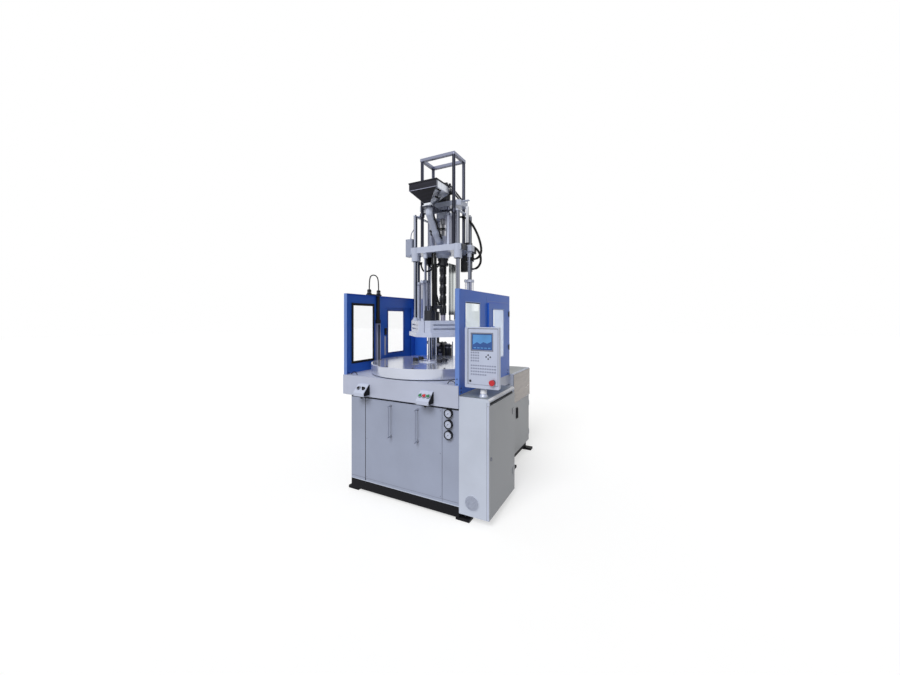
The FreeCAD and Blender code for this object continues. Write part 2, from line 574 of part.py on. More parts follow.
def drive_plate():
    half_x, half_y, c = DRIVE_X, DRIVE_HALF, DRIVE_CORNER
    outline = [(-half_x + c, INJ_Y - half_y), (half_x - c, INJ_Y - half_y), (half_x, INJ_Y - half_y + c),
               (half_x, INJ_Y + half_y - c), (half_x - c, INJ_Y + half_y), (c - half_x, INJ_Y + half_y),
               (-half_x, INJ_Y + half_y - c), (-half_x, INJ_Y - half_y + c)]
    plate = prism_z(outline, DRIVE_Z0, DRIVE_Z1)
    housing = rod(0, INJ_Y, DRIVE_Z0 - THRUST_DEEP, DRIVE_Z0, THRUST_R)
    return cut(join(plate, housing), rod(0, INJ_Y, 0, FAR, SHANK_R + RUN))


def hydraulic_motor():
    z = DRIVE_Z1
    half = MOTOR_FLANGE
    flange = box(-half, half, INJ_Y - half, INJ_Y + half, z, z + MOTOR_FOOT)
    body = rod(0, INJ_Y, z + MOTOR_FOOT, MOTOR_Z1 - MOTOR_CAP, MOTOR_R)
    cap = rod(0, INJ_Y, MOTOR_Z1 - MOTOR_CAP, MOTOR_Z1, MOTOR_R - 16)
    ports = [bar_x(MOTOR_R - 20, MOTOR_R + PORT_OUT, INJ_Y + dy, z + PORT_UP, PORT_R)
             for dy in (-PORT_DY, PORT_DY)]
    return join(flange, body, cap, *ports)


def post_places():
    return [(sx * POST_X, INJ_Y + sy * POST_DY) for sy in (-1, 1) for sx in (-1, 1)]


def top_frame():
    posts = [rod(x, y, CARRIAGE_Z1, RING_Z1 - RING_BAR / 2, POST_R) for x, y in post_places()]
    b = RING_BAR / 2
    outer = box(-POST_X - b, POST_X + b, INJ_Y - POST_DY - b, INJ_Y + POST_DY + b,
                RING_Z1 - RING_BAR, RING_Z1)
    inner = box(-POST_X + b, POST_X - b, INJ_Y - POST_DY + b, INJ_Y + POST_DY - b,
                RING_Z1 - RING_BAR - 1, RING_Z1 + 1)
    hopper_y = (HOPPER_Y0 + HOPPER_Y1) / 2
    front = INJ_Y - POST_DY
    shelf_z1 = SHELF_Z0 + SHELF_T
    bridge = box(-POST_X, POST_X, front - POST_R, front + POST_R, SHELF_Z0, shelf_z1)
    tongue = box(-TONGUE, TONGUE, hopper_y - TONGUE, front, SHELF_Z0, shelf_z1)
    collars = [rod(sx * POST_X, front, SHELF_Z0 - COLLAR_DROP, shelf_z1, POST_R + COLLAR_WALL)
               for sx in (-1, 1)]
    shelf = cut(join(bridge, tongue, *collars), rod(0, hopper_y, 0, FAR, PIPE_R - PIPE_WALL))
    return join(*posts, cut(outer, inner), shelf)


def pyramid(half, y0, y1, z0, z1, throat, centre):
    """Loft from a small square outlet up to a rectangular mouth."""
    def ring(x, ya, yb, z):
        return Part.makePolygon([Vector(-x, ya, z), Vector(x, ya, z), Vector(x, yb, z),
                                 Vector(-x, yb, z), Vector(-x, ya, z)])
    low = ring(throat, centre - throat, centre + throat, z0)
    high = ring(half, y0, y1, z1)
    return Part.makeLoft([low, high], True, True)


def hopper():
    y0, y1 = HOPPER_Y0, HOPPER_Y1
    mid = (y0 + y1) / 2
    foot_z = SHELF_Z0 + SHELF_T
    neck_z = foot_z + HOPPER_NECK_H
    foot, neck, half, t = HOPPER_FOOT, HOPPER_NECK, HOPPER_HALF, SHEET
    hole = neck - t
    outer = join(box(-foot, foot, mid - foot, mid + foot, foot_z, foot_z + HOPPER_PLATE),
                 box(-neck, neck, mid - neck, mid + neck, foot_z, neck_z),
                 pyramid(half, y0, y1, neck_z, HOPPER_RIM_Z0, neck, mid),
                 box(-half, half, y0, y1, HOPPER_RIM_Z0, HOPPER_RIM_Z1))
    inner = join(box(-hole, hole, mid - hole, mid + hole, foot_z - 1, neck_z),
                 pyramid(half - t, y0 + t, y1 - t, neck_z, HOPPER_RIM_Z0, hole, mid),
                 box(t - half, half - t, y0 + t, y1 - t, HOPPER_RIM_Z0, HOPPER_RIM_Z1 + 1))
    return cut(outer, inner)


def feed_pipe():
    mid = (HOPPER_Y0 + HOPPER_Y1) / 2
    end_y = INJ_Y - THROAT / 2
    top = Vector(0, mid, SHELF_Z0)
    knee = Vector(0, mid, SHELF_Z0 - PIPE_DROP)
    toe = Vector(0, end_y - 40, INLET_Z)
    end = Vector(0, end_y, INLET_Z)
    outer = []
    inner = []
    for made, r in ((outer, PIPE_R), (inner, PIPE_R - PIPE_WALL)):
        for a, b in ((top, knee), (knee, toe), (toe, end)):
            made.append(Part.makeCylinder(r, (b - a).Length, a, b - a))
        for joint in (knee, toe):
            made.append(Part.makeSphere(r, joint))
    way = (toe - knee).normalize()
    band = Part.makeCylinder(PIPE_R + PIPE_BAND_T, PIPE_BAND_W, knee + way * PIPE_BAND_AT, way)
    return cut(join(*outer, band), join(*inner))


def junction_box():
    return rounded_box(JUNCTION_X, -CARRIAGE_X, *JUNCTION_Y, *JUNCTION_Z, 6.0)


# ---------------------------------------------------------------- guards

def guard(side):
    """Folded guard of one side (-1 left, 1 right), modelled for the right and mirrored."""
    x0, x1 = GUARD_X, GUARD_X + SHEET
    z0, z1 = GUARD_Z0[0 if side < 0 else 1], GUARD_Z1
    sheet = box(x0, x1, 0, GUARD_Y1, z0, z1)
    front = box(x0 - FLANGE, x1, 0, SHEET, BED_Z1, z1)
    rear = box(x0 - REAR_FLANGE, x1, GUARD_Y1 - SHEET, GUARD_Y1, BED_Z1, z1)
    top = box(x0 - FLANGE, x1, 0, GUARD_Y1, z1 - SHEET, z1)
    door_hole = box(x0 - 1, x1 + 1, DOOR_Y[0] + DOOR_LAP, DOOR_Y[1] - DOOR_LAP,
                    DOOR_Z[0] + DOOR_LAP, DOOR_Z[1] - DOOR_LAP)
    shell = cut(join(sheet, front, rear, top), window(WIN_Y, WIN_Z, x0 - 1, x1 + 1), door_hole)
    hinge_x, hinge_y = guard_hinge()
    root = (x1, hinge_x, hinge_y - HINGE_ARM, hinge_y + HINGE_ARM)
    solid = join(shell, *hinge_pins(hinge_x, hinge_y, GUARD_HINGE_Z, root))
    return solid if side > 0 else mirror(solid)


def guard_hinge():
    return GUARD_X + SHEET + GAP + DOOR_T / 2, DOOR_Y[1] + 12.0


def guard_door(side):
    x0 = GUARD_X + SHEET + GAP
    x1 = x0 + DOOR_T
    pan = box(x0, x1, DOOR_Y[0], DOOR_Y[1], DOOR_Z[0], DOOR_Z[1])
    hollow = box(x0 - 1, x1 - SHEET, DOOR_Y[0] + SHEET, DOOR_Y[1] - SHEET,
                 DOOR_Z[0] + SHEET, DOOR_Z[1] - SHEET)
    shell = cut(pan, hollow, window(DOOR_WIN_Y, DOOR_WIN_Z, x0 - 1, x1 + 1))
    hinge_x, hinge_y = guard_hinge()
    pieces = [shell] + hinge_knuckles(hinge_x, hinge_y, GUARD_HINGE_Z, DOOR_Y[1])
    grip_y, grip_z = GRIP_AT
    for z in (grip_z - GRIP_HALF + 15, grip_z + GRIP_HALF - 15):
        pieces.append(bar_x(x1 - 1, x1 + GRIP_OUT, grip_y, z, GRIP_R - 2))
    pieces.append(rod(x1 + GRIP_OUT, grip_y, grip_z - GRIP_HALF, grip_z + GRIP_HALF, GRIP_R))
    solid = join(*pieces)
    return solid if side > 0 else mirror(solid)


def door_pane(side):
    x0 = GUARD_X + SHEET + GAP + DOOR_T - SHEET - PANE_T
    pane = box(x0, x0 + PANE_T, DOOR_WIN_Y[0] - PANE_LAP, DOOR_WIN_Y[1] + PANE_LAP,
               DOOR_WIN_Z[0] - PANE_LAP, DOOR_WIN_Z[1] + PANE_LAP)
    return pane if side > 0 else mirror(pane)


def guard_panes():
    pane = box(GUARD_X - PANE_T, GUARD_X, WIN_Y[0] - PANE_LAP, WIN_Y[1] + PANE_LAP,
               WIN_Z[0] - PANE_LAP, WIN_Z[1] + PANE_LAP)
    return group(pane, mirror(pane))


def light_curtain():
    x0 = -GUARD_X
    x1 = x0 + CURTAIN_DEEP
    y, half = CURTAIN_Y, CURTAIN_W / 2
    foot = box(x0, x1, y - half, y + half, BED_Z1, CURTAIN_SPLIT)
    neck = box(x0 + 4, x1 - 4, y - half + 12, y + half - 12, CURTAIN_SPLIT, GUARD_Z1 - SHEET)
    bracket = box(x0 - SHEET, x1 + 14, y + CURTAIN_LEGS[0] - 21, y + 21, GUARD_Z1, GUARD_Z1 + BRACKET_T)
    gland_z = GUARD_Z1 + BRACKET_T
    glands = [rod(curtain_x(), y + dy, gland_z, gland_z + GLAND_H, GLAND_R) for dy in CURTAIN_LEGS]
    return group(join(foot, neck), join(bracket, *glands))


def curtain_x():
    return -GUARD_X + 20.0


def curtain_cable():
    x = curtain_x()
    y0, y1 = CURTAIN_Y + CURTAIN_LEGS[0], CURTAIN_Y + CURTAIN_LEGS[1]
    z = GUARD_Z1 + BRACKET_T + GLAND_H
    rise, bow = 112.0, 41.0
    points = [(x, y0, z), (x, y0, z + rise), (x, y0 + bow, z + rise + bow),
              (x, y1 - bow, z + rise + bow), (x, y1, z + rise), (x, y1, z)]
    return cord(points, CURTAIN_CABLE_R)


# ---------------------------------------------------------------- controls

def button_box(x):
    y1 = BED_Y0
    y0 = y1 - BOX_OUT
    b = BOX_BEVEL
    outline = [(y0, BOX_Z0), (y1, BOX_Z0), (y1, BOX_Z1), (y0 + b, BOX_Z1), (y0, BOX_Z1 - b)]
    return prism_x(outline, x - BOX_W / 2, x + BOX_W / 2)


def bevel_seat(x):
    """Point and outward direction on the middle of a button box's slanted face."""
    half = BOX_BEVEL / 2
    return Vector(x, BED_Y0 - BOX_OUT + half, BOX_Z1 - half), Vector(0, -1, 1).normalize()


def button_places():
    return {"start_button_left": BOX_LEFT - BUTTON_LEFT, "clamp_open_button": BOX_RIGHT - BUTTON_PITCH,
            "stop_button": BOX_RIGHT, "start_button_right": BOX_RIGHT + BUTTON_PITCH}


def drilled_box(middle):
    """Button box with a stem hole and a raised ring for each of its buttons."""
    holes, rings = [], []
    for x in button_places().values():
        if abs(x - middle) > BOX_W:
            continue
        seat, way = bevel_seat(x)
        ring = Part.makeCylinder(BUTTON_R + BUTTON_RING, BUTTON_RING, seat, way)
        rings.append(ring.cut(Part.makeCylinder(BUTTON_R + RUN, FAR, seat - way, way)))
        holes.append(Part.makeCylinder(BUTTON_R - 3 + RUN, 22, seat - way * 21, way))
    return join(cut(button_box(middle), *holes), *rings)


def push_button(name):
    seat, way = bevel_seat(button_places()[name])
    stem = Part.makeCylinder(BUTTON_R - 3, 18, seat - way * 14, way)
    cap = Part.makeCylinder(BUTTON_R, BUTTON_OUT - BUTTON_RING, seat + way * BUTTON_RING, way)
    return join(stem, cap)


def pressure_gauges():
    gauges = []
    for z in GAUGE_Z:
        body = bar_y(GAUGE_X, -GAUGE_OUT, 0, z, GAUGE_R)
        dial = bar_y(GAUGE_X, -GAUGE_OUT - 1, GAUGE_RECESS - GAUGE_OUT, z, GAUGE_R - GAUGE_RIM)
        stem = bar_y(GAUGE_X, 0, SHEET + 30, z, GAUGE_STEM)
        gauges.append(join(cut(body, dial), stem))
    return group(*gauges)


def electrical_cabinet():
    x0, x1 = BASE_X1, CAB_X1
    face = x1 - CAB_DOOR_T - GAP
    top = CAB_Z1 - CAB_LID
    outer = box(x0, face, 0, CAB_Y1, CAB_Z0, top)
    inner = box(x0 + SHEET, face - SHEET, SHEET, CAB_Y1 - SHEET, CAB_Z0 + SHEET, top - SHEET)
    opening = box(face - SHEET - 1, x1, CAB_RIM, CAB_Y1 - CAB_RIM, CAB_Z0 + CAB_RIM,
                  top - CAB_SLOT - CAB_RIM)
    lid = prism_y([(x0, top), (x1, top), (x1, CAB_Z1 - CAB_BEVEL), (x1 - CAB_BEVEL, CAB_Z1),
                   (x0, CAB_Z1)], 0, CAB_Y1)
    hinge_x, hinge_y = cabinet_hinge()
    root = (face - 8, face, CAB_Y1, hinge_y + HINGE_ARM)
    lugs = [box(face - 8, hinge_x, hinge_y - HINGE_ARM, hinge_y + HINGE_ARM, end, end + HINGE_LUG)
            for z in CAB_HINGE_Z for end in (z - HINGE_SPAN, z + HINGE_SPAN - HINGE_LUG)]
    pins = hinge_pins(hinge_x, hinge_y, CAB_HINGE_Z, root)
    return join(cut(outer, inner, opening), lid, *pins, *lugs)


def cabinet_hinge():
    return CAB_X1 - CAB_DOOR_T / 2, CAB_Y1 + 10.0


def cabinet_door():
    x1 = CAB_X1
    x0 = x1 - CAB_DOOR_T
    z1 = CAB_Z1 - CAB_LID - CAB_SLOT
    pan = box(x0, x1, 0, CAB_Y1, CAB_Z0, z1)
    hollow = box(x0 - 1, x1 - SHEET, SHEET, CAB_Y1 - SHEET, CAB_Z0 + SHEET, z1 - SHEET)
    hinge_x, hinge_y = cabinet_hinge()
    return join(cut(pan, hollow), *hinge_knuckles(hinge_x, hinge_y, CAB_HINGE_Z, CAB_Y1))


def hmi_pedestal():
    x, y, r = PEDESTAL
    z = CAB_Z1
    neck, top = PEDESTAL_NECK, HMI_Z0 - GAP
    return turned(x, y, [(0, z), (r, z), (r, z + 8), (neck, z + 30), (neck, top), (0, top)])


def hmi_panel():
    y1 = HMI_Y0 + HMI_T
    left, right = HMI_INSET
    front = rounded_box(HMI_X0, HMI_X1, HMI_Y0, y1, HMI_Z0, HMI_Z1, 10.0, "y")
    rear = box(HMI_X0 + left, HMI_X1 - right, y1, y1 + HMI_BACK, HMI_Z0, HMI_Z1 - right)
    screen = box(HMI_X0 + SCREEN_X[0], HMI_X0 + SCREEN_X[1], HMI_Y0 - 1, HMI_Y0 + SCREEN_DEEP, *SCREEN_Z)
    hole = bar_y(ESTOP_X, HMI_Y0 - 1, y1 - 4, ESTOP_Z, ESTOP_R - 7 + RUN)
    return cut(join(front, rear), screen, hole)


def hmi_stop_button():
    y = HMI_Y0
    stem = bar_y(ESTOP_X, y - 12, y + 24, ESTOP_Z, ESTOP_R - 7)
    cap = bar_y(ESTOP_X, y - 30, y - 12, ESTOP_Z, ESTOP_R)
    cap = cap.makeFillet(5.0, [e for e in cap.Edges if e.Curve.TypeId == "Part::GeomCircle"][:1])
    return join(stem, cap)


# ---------------------------------------------------------------- hydraulic power unit

def power_unit_housing():
    x0, x1, y0, y1 = UNIT_X0, UNIT_X1, UNIT_Y0, UNIT_Y1
    z0, z1 = BASE_Z0, UNIT_Z1
    low_x = x1 - UNIT_DOOR_T - GAP
    lower = box(x0, low_x, y0, y1, z0, UNIT_SEAM)
    upper = box(x0, x1, y0, y1, UNIT_SEAM, z1)
    t = SHEET
    inner = box(x0 + t, low_x - t, y0 + t, y1 - t, z0 - 1, z1 - t)
    rim = UNIT_RIM
    opening = box(low_x - t - 1, x1 + 1, y0 + rim, y1 - rim, z0 + rim / 2, UNIT_SEAM - rim / 2)
    shell = cut(join(lower, upper), inner, opening)
    edge = [e for e in shell.Edges if e.BoundBox.ZMin > z1 - 0.1 and e.Length > UNIT_LONG - 5 * t]
    shell = shell.makeChamfer(8.0, edge)
    hinge_x, hinge_y = unit_hinge()
    root = (low_x - 1, hinge_x, hinge_y - HINGE_ARM, hinge_y + HINGE_ARM)
    return join(shell, *hinge_pins(hinge_x, hinge_y, UNIT_HINGE_Z, root))


def unit_hinge():
    return UNIT_X1 - UNIT_DOOR_T + HINGE_R + GAP, UNIT_Y1 - 18.0


def power_unit_door():
    x1 = UNIT_X1
    x0 = x1 - UNIT_DOOR_T
    y0, y1 = UNIT_Y0 + UNIT_RIM / 2, unit_hinge()[1] - 12
    z0, z1 = BASE_Z0 + 6, UNIT_SEAM - 4
    hinge_x, hinge_y = unit_hinge()
    leaf = box(x0, x1, y0, y1, z0, z1)
    latch = bar_x(x0 - 1, x1 + 1, UNIT_LATCH[0], UNIT_LATCH[1], LATCH_R + RUN)
    return join(cut(leaf, latch), *hinge_knuckles(hinge_x, hinge_y, UNIT_HINGE_Z, y1))


def power_unit_handle():
    y, z = UNIT_LATCH
    half = LATCH_HALF
    lever = rounded_box(UNIT_X1 + GAP, UNIT_X1 + 14, y - half, y + half, z - LATCH_LONG, z + half, 6.0, "x")
    return join(lever, bar_x(UNIT_X1 - UNIT_DOOR_T, UNIT_X1 + 5, y, z, LATCH_R))


def oil_tank():
    x0, x1, y0, y1 = UNIT_X0 + TANK_AIR, TANK_X1, UNIT_Y0 + TANK_AIR, UNIT_Y1 - TANK_AIR
    z0, z1, t = BASE_Z0, TANK_Z1, TANK_T
    return cut(box(x0, x1, y0, y1, z0, z1), box(x0 + t, x1 - t, y0 + t, y1 - t, z0 + t, z1 - t))


def pump_set():
    y = (UNIT_Y0 + UNIT_Y1) / 2
    z = BASE_Z0 + DRIVE_UP
    x0, x1, x2, x3 = PUMP_X
    motor = bar_x(x2, x3, y, z, DRIVE_R)
    bell = bar_x(x1, x2, y, z, PUMP_HALF + 10)
    pump = box(x0, x1, y - PUMP_HALF, y + PUMP_HALF, z - PUMP_HALF, z + PUMP_HALF)
    foot = box(x2 + 10, x3 - 10, y - DRIVE_R + 10, y + DRIVE_R - 10, BASE_Z0, z - DRIVE_R / 2)
    return group(join(motor, bell, pump, foot), valve_stack())


def valve_stack():
    top = UNIT_Z1 + STACK_UP
    y0, y1 = STACK_Y0, STACK_Y0 + STACK_DEEP
    pitch = SECTION_W + SECTION_AIR
    filter_x = STACK_X0 + len(SECTION_UP) * pitch + FILTER_R
    block = box(STACK_X0, filter_x + FILTER_R, y0, y1, UNIT_Z1, top)
    pieces = [rod(filter_x, (y0 + y1) / 2, top - 1, top + FILTER_UP, FILTER_R)]
    for i, up in enumerate(SECTION_UP):
        x0 = STACK_X0 + i * pitch
        inner_y0, inner_y1 = y0 + STACK_INSET, y1 - STACK_INSET
        pieces.append(box(x0, x0 + SECTION_W, inner_y0, inner_y1, top - 1, top + up))
        coil_y0, coil_y1 = inner_y0 - COIL_OUT, inner_y1 + COIL_OUT
        pieces.append(bar_y(x0 + SECTION_W / 2, coil_y0, coil_y1, top + up - COIL_DROP, COIL_R))
    return join(block, *pieces)


# ---------------------------------------------------------------- cords of the tower

def heater_cables():
    cables = []
    for x in HEATER_X:
        points = [(x, 720, CARRIAGE_Z0), (x, 720, 2110), (x - 6, 732, 1960), (x, 750, 1830),
                  (x + 20, 782, 1735)]
        cables.append(cord(points, HEATER_CABLE_R))
    return group(*cables)


def oil_manifold():
    y0 = CARRIAGE_Y1
    return box(*MANIFOLD_X, y0, y0 + MANIFOLD_DEEP, *MANIFOLD_Z)


def hydraulic_hoses():
    """From the rear right injection cylinder's two caps round to the manifold's side."""
    x0, y0 = SHOT_X + SHOT[3] / 2, INJ_Y + SHOT_DY
    x1 = MANIFOLD_X[1]
    upper = [(x0, y0, 2677), (226, y0, 2677), (312, 930, 2606), (356, 988, 2502),
             (371, 1038, 2398), (371, 1048, 2318), (343, 1048, 2269.5), (294.5, 1048, 2241.5),
             (x1, 1048, 2241.5)]
    lower = [(x0, y0, 2356), (220, y0, 2356), (300, 926, 2364), (350, 972, 2336),
             (373, 1012, 2276), (371, 1022, 2206), (343, 1022, 2157.5), (294.5, 1022, 2129.5),
             (x1, 1022, 2129.5)]
    return group(cord(upper, HOSE_R), cord(lower, HOSE_R))


NODES = {
    "base_beams": base_beams, "base_housing": base_housing, "front_cover": front_cover,
    "cover_handles": cover_handles, "bed_plate": bed_plate, "tie_bar_bushes": tie_bar_bushes,
    "table_bearing": table_bearing, "rotary_table": rotary_table,
    "clamp_cylinder": clamp_cylinder, "clamp_rod": clamp_rod, "crosshead": crosshead,
    "tie_bars": tie_bars, "tie_bar_nuts": tie_bar_nuts, "platen": platen,
    "guide_columns": guide_columns, "carriage_cylinders": carriage_cylinders,
    "carriage_rods": carriage_rods, "barrel_guard": barrel_guard,
    "carriage_plate": carriage_plate, "barrel": barrel, "nozzle": nozzle,
    "feed_throat": feed_throat, "screw": screw, "injection_cylinders": injection_cylinders,
    "injection_rods": injection_rods, "drive_plate": drive_plate,
    "hydraulic_motor": hydraulic_motor, "top_frame": top_frame, "hopper": hopper,
    "feed_pipe": feed_pipe, "junction_box": junction_box, "oil_manifold": oil_manifold,
    "guard_panes": guard_panes, "light_curtain": light_curtain, "curtain_cable": curtain_cable,
    "pressure_gauges": pressure_gauges, "electrical_cabinet": electrical_cabinet,
    "cabinet_door": cabinet_door, "hmi_pedestal": hmi_pedestal, "hmi_panel": hmi_panel,
    "hmi_stop_button": hmi_stop_button, "power_unit_housing": power_unit_housing,
    "power_unit_door": power_unit_door, "power_unit_handle": power_unit_handle,
    "oil_tank": oil_tank, "pump_set": pump_set, "heater_cables": heater_cables,
    "hydraulic_hoses": hydraulic_hoses,
}


def all_nodes():
    made = {name: make() for name, make in NODES.items()}
    for side, word, box_x in ((-1, "left", BOX_LEFT), (1, "right", BOX_RIGHT)):
        made[word + "_guard"] = guard(side)
        made[word + "_guard_door"] = guard_door(side)
        made[word + "_door_pane"] = door_pane(side)
        made["button_box_" + word] = drilled_box(box_x)
    for name in button_places():
        made[name] = push_button(name)
    return made


os.makedirs("parts", exist_ok=True)
for node, shape in all_nodes().items():
    shape.translate(Vector(SHIFT_X, SHIFT_Y, 0))
    shape.exportStep(os.path.join("parts", node + ".step"))
    print(node, len(shape.Solids), "solids", "valid" if shape.isValid() else "INVALID")
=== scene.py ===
import bpy
import bmesh
from math import cos, pi, radians, sin, sqrt
from mathutils import Matrix, Vector


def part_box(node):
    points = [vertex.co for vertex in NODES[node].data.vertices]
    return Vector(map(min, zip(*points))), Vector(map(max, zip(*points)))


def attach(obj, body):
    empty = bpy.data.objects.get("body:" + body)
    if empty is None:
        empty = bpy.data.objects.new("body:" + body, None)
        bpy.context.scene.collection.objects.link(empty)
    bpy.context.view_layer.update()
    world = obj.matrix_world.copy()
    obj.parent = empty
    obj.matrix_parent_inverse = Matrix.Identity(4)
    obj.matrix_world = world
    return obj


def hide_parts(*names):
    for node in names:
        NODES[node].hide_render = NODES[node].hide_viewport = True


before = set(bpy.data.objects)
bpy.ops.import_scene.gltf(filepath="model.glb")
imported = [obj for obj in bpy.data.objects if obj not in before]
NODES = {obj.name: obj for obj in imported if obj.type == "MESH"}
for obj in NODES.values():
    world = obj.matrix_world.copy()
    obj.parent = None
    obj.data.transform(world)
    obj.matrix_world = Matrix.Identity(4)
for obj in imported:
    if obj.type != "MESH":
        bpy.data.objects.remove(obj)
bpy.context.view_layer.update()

# Machine frame in millimetres: X = 0 on the centre plane, Y = 0 on the base's front face,
# Z = 0 on the floor. Its place in the shared frame is read from the bed and the housing.
bed_low, bed_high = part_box("bed_plate")
CENTRE_X = (bed_low.x + bed_high.x) / 2
FRONT_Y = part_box("base_housing")[0].y
MM = 0.001
UP, DOWN, FRONT, RIGHT = (0, 0, 1), (0, 0, -1), (0, -1, 0), (1, 0, 0)

# Sizes of the solids that their boxes in the frame don't tell
SHEET = 3  # sheet metal
HANDLE_PITCH = 279  # between the cover's two handles
GAUGE_SEAT = -22  # bottom of the recess in a gauge's case
SCREEN_Z = (1352, 1477)  # screen's recess in the operator panel
BOX_TALL, BOX_BEVEL = 100, 70  # button box below its rings, and its slanted corner
BOX_BUTTONS = {"button_box_left": ("start_button_left",),
               "button_box_right": ("start_button_right", "clamp_open_button", "stop_button")}
VENT_X, VENT_Z, VENT_R = 722, 165, 57
CABINET_DEEP = 605.5
CABINET_HINGES = (240, 770)
GUARD_X = 610  # inner faces of the guards' side sheets
GUARD_HINGES = (1290, 1640)
DOOR_AIR, DOOR_T, PANE_T = 3.5, 18, 4
WINDOW = (110, 410, 1170, 1730)  # a guard's fixed window: y0, y1, z0, z1
DOOR_WINDOW = (680, 980, 1210, 1680)
CURTAIN_X, CURTAIN_Y = -590, (331, 478)  # cable's two glands; the curtain is at the second
CURTAIN_POST = 26  # depth of the light curtain's profile
COLUMN_R = 20
TOWER_Y = 828  # middle of the columns and cylinders
LIFTS = ((-310, TOWER_Y), (310, TOWER_Y), (-130, 680))
PISTON_X, PISTON_Y = 105, 70  # injection cylinders from the barrel's line
PLATE_T = 62  # carriage plate between its bosses
HOPPER_FOOT, HOPPER_RIM, HOPPER_THROAT = 30, 80, 38
FRAME_RING = 32  # height of the top frame's ring
UNIT_DEEP = 615.5
STACK_X0, STACK_Y0, STACK_DEEP, STACK_UP = -480, 1282, 130, 130
STACK_INSET, SECTION_INSET, SECTION_PITCH = 15, 32, 72
SECTION_UP = (205, 160, 180)  # valve sections above the stack's block


def place(x, y, z):
    return Vector((CENTRE_X + x * MM, FRONT_Y + y * MM, z * MM))


def extent(node):
    """Box of a CAD node in machine millimetres: x0, x1, y0, y1, z0, z1."""
    low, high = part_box(node)
    return ((low.x - CENTRE_X) / MM, (high.x - CENTRE_X) / MM, (low.y - FRONT_Y) / MM,
            (high.y - FRONT_Y) / MM, low.z / MM, high.z / MM)


def middle(node):
    """Middle of a CAD node's box, seen from above."""
    x0, x1, y0, y1 = extent(node)[:4]
    return (x0 + x1) / 2, (y0 + y1) / 2


def z_top(node):
    return extent(node)[5]


def inset(window, edge):
    y0, y1, z0, z1 = window
    return y0 + edge, y1 - edge, z0 + edge, z1 - edge


def corners(x, y, dx, dy):
    """Four points round (x, y)."""
    return [(x + sx * dx, y + sy * dy) for sx in (-1, 1) for sy in (-1, 1)]


def circle(count, radius, x, y, start):
    """Points evenly round (x, y), from a start angle in degrees."""
    angles = [radians(start + 360 * i / count) for i in range(count)]
    return [(x + radius * cos(a), y + radius * sin(a)) for a in angles]


# ---------------- materials

RELIEF = 0.0002  # metres


def settle(node, *first, **named):
    """Give values to a node's inputs or link outputs to them, the first in order and the rest
    by name; the input Coat Weight is written Coat_Weight."""
    for key, value in (*enumerate(first), *named.items()):
        socket = node.inputs[key.replace("_", " ") if key in named else key]
        if isinstance(value, bpy.types.NodeSocket):
            node.id_data.links.new(value, socket)
        else:
            socket.default_value = value


def add_node(tree, kind, *first, modes=(), **named):
    node = tree.nodes.new("ShaderNode" + kind)
    for name, mode in dict(modes).items():
        setattr(node, name, mode)
    settle(node, *first, **named)
    return node


def new_material(name, **values):
    material = bpy.data.materials.new(name)
    material.use_nodes = True
    shader = material.node_tree.nodes["Principled BSDF"]
    settle(shader, **values)
    return material, material.node_tree, shader


def noise(tree, scale, detail, stretch=(1, 1, 1)):
    """Noise in the piece's own coordinates, multiplied by a factor along each axis."""
    coords = add_node(tree, "TexCoord").outputs["Object"]
    mapping = add_node(tree, "Mapping", Vector=coords, Scale=stretch)
    texture = add_node(tree, "TexNoise", Vector=mapping.outputs["Vector"], Scale=scale, Detail=detail)
    return texture.outputs["Fac"]


def ramp(tree, factor, low, high, start=0.3, end=0.7):
    node = add_node(tree, "ValToRGB", Fac=factor)
    for element, position, colour in zip(node.color_ramp.elements, (start, end), (low, high)):
        element.position = position
        element.color = colour
    return node.outputs["Color"]


def change_along(tree, axis, low, high, start, end):
    """Change of colour between two shares of the piece's size along an axis."""
    coords = add_node(tree, "TexCoord").outputs["Generated"]
    split = add_node(tree, "SeparateXYZ", coords)
    return ramp(tree, split.outputs[axis], low, high, start, end)


def grey(value):
    return value, value, value, 1


def shade(colour, factor):
    return (*(channel * factor for channel in colour), 1)


def finish(name, colour, roughness, metallic=0, grain=900, strength=0.15, variation=0.06,
           stretch=(1, 1, 1), coat=0, specular=0.5):
    """A surface with a fine relief, a slow change of colour and an uneven gloss."""
    material, tree, shader = new_material(name, Metallic=metallic, Coat_Weight=coat,
                                          Specular_IOR_Level=specular)
    slow = noise(tree, 3, 5, stretch)
    relief = add_node(tree, "Bump", Height=noise(tree, grain, 2, stretch), Strength=strength,
                      Distance=RELIEF)
    settle(shader, Normal=relief.outputs["Normal"],
           Base_Color=ramp(tree, slow, shade(colour, 1 - variation), shade(colour, 1 + variation)),
           Roughness=ramp(tree, slow, grey(roughness * 0.85), grey(roughness * 1.15)))
    return material


def painted_reflection_metal(name, dark, bright, roughness, metallic=1, lines=42, low=0.36, high=0.62, right=1):
    """Polished metal with painted reflections, dark and bright stripes along Z; right darkens the
    piece's right half as painted shade.
    """
    material, tree, shader = new_material(name, Metallic=metallic)
    # painted reflections: stripes of dark and bright along Z
    reflection_streaks = noise(tree, 1, 3, (lines, lines, 0.35))
    tone = ramp(tree, reflection_streaks, (*dark, 1), (*bright, 1), low, high)
    # painted shade: where right is below 1, the piece's right half is darker
    half = change_along(tree, "X", grey(1), grey(right), 0.49, 0.51)
    shaded_right_half = add_node(tree, "VectorMath", tone, half, modes={"operation": "MULTIPLY"})
    settle(shader, Base_Color=shaded_right_half.outputs["Vector"],
           Roughness=ramp(tree, reflection_streaks, grey(roughness), grey(roughness * 1.5)))
    return material


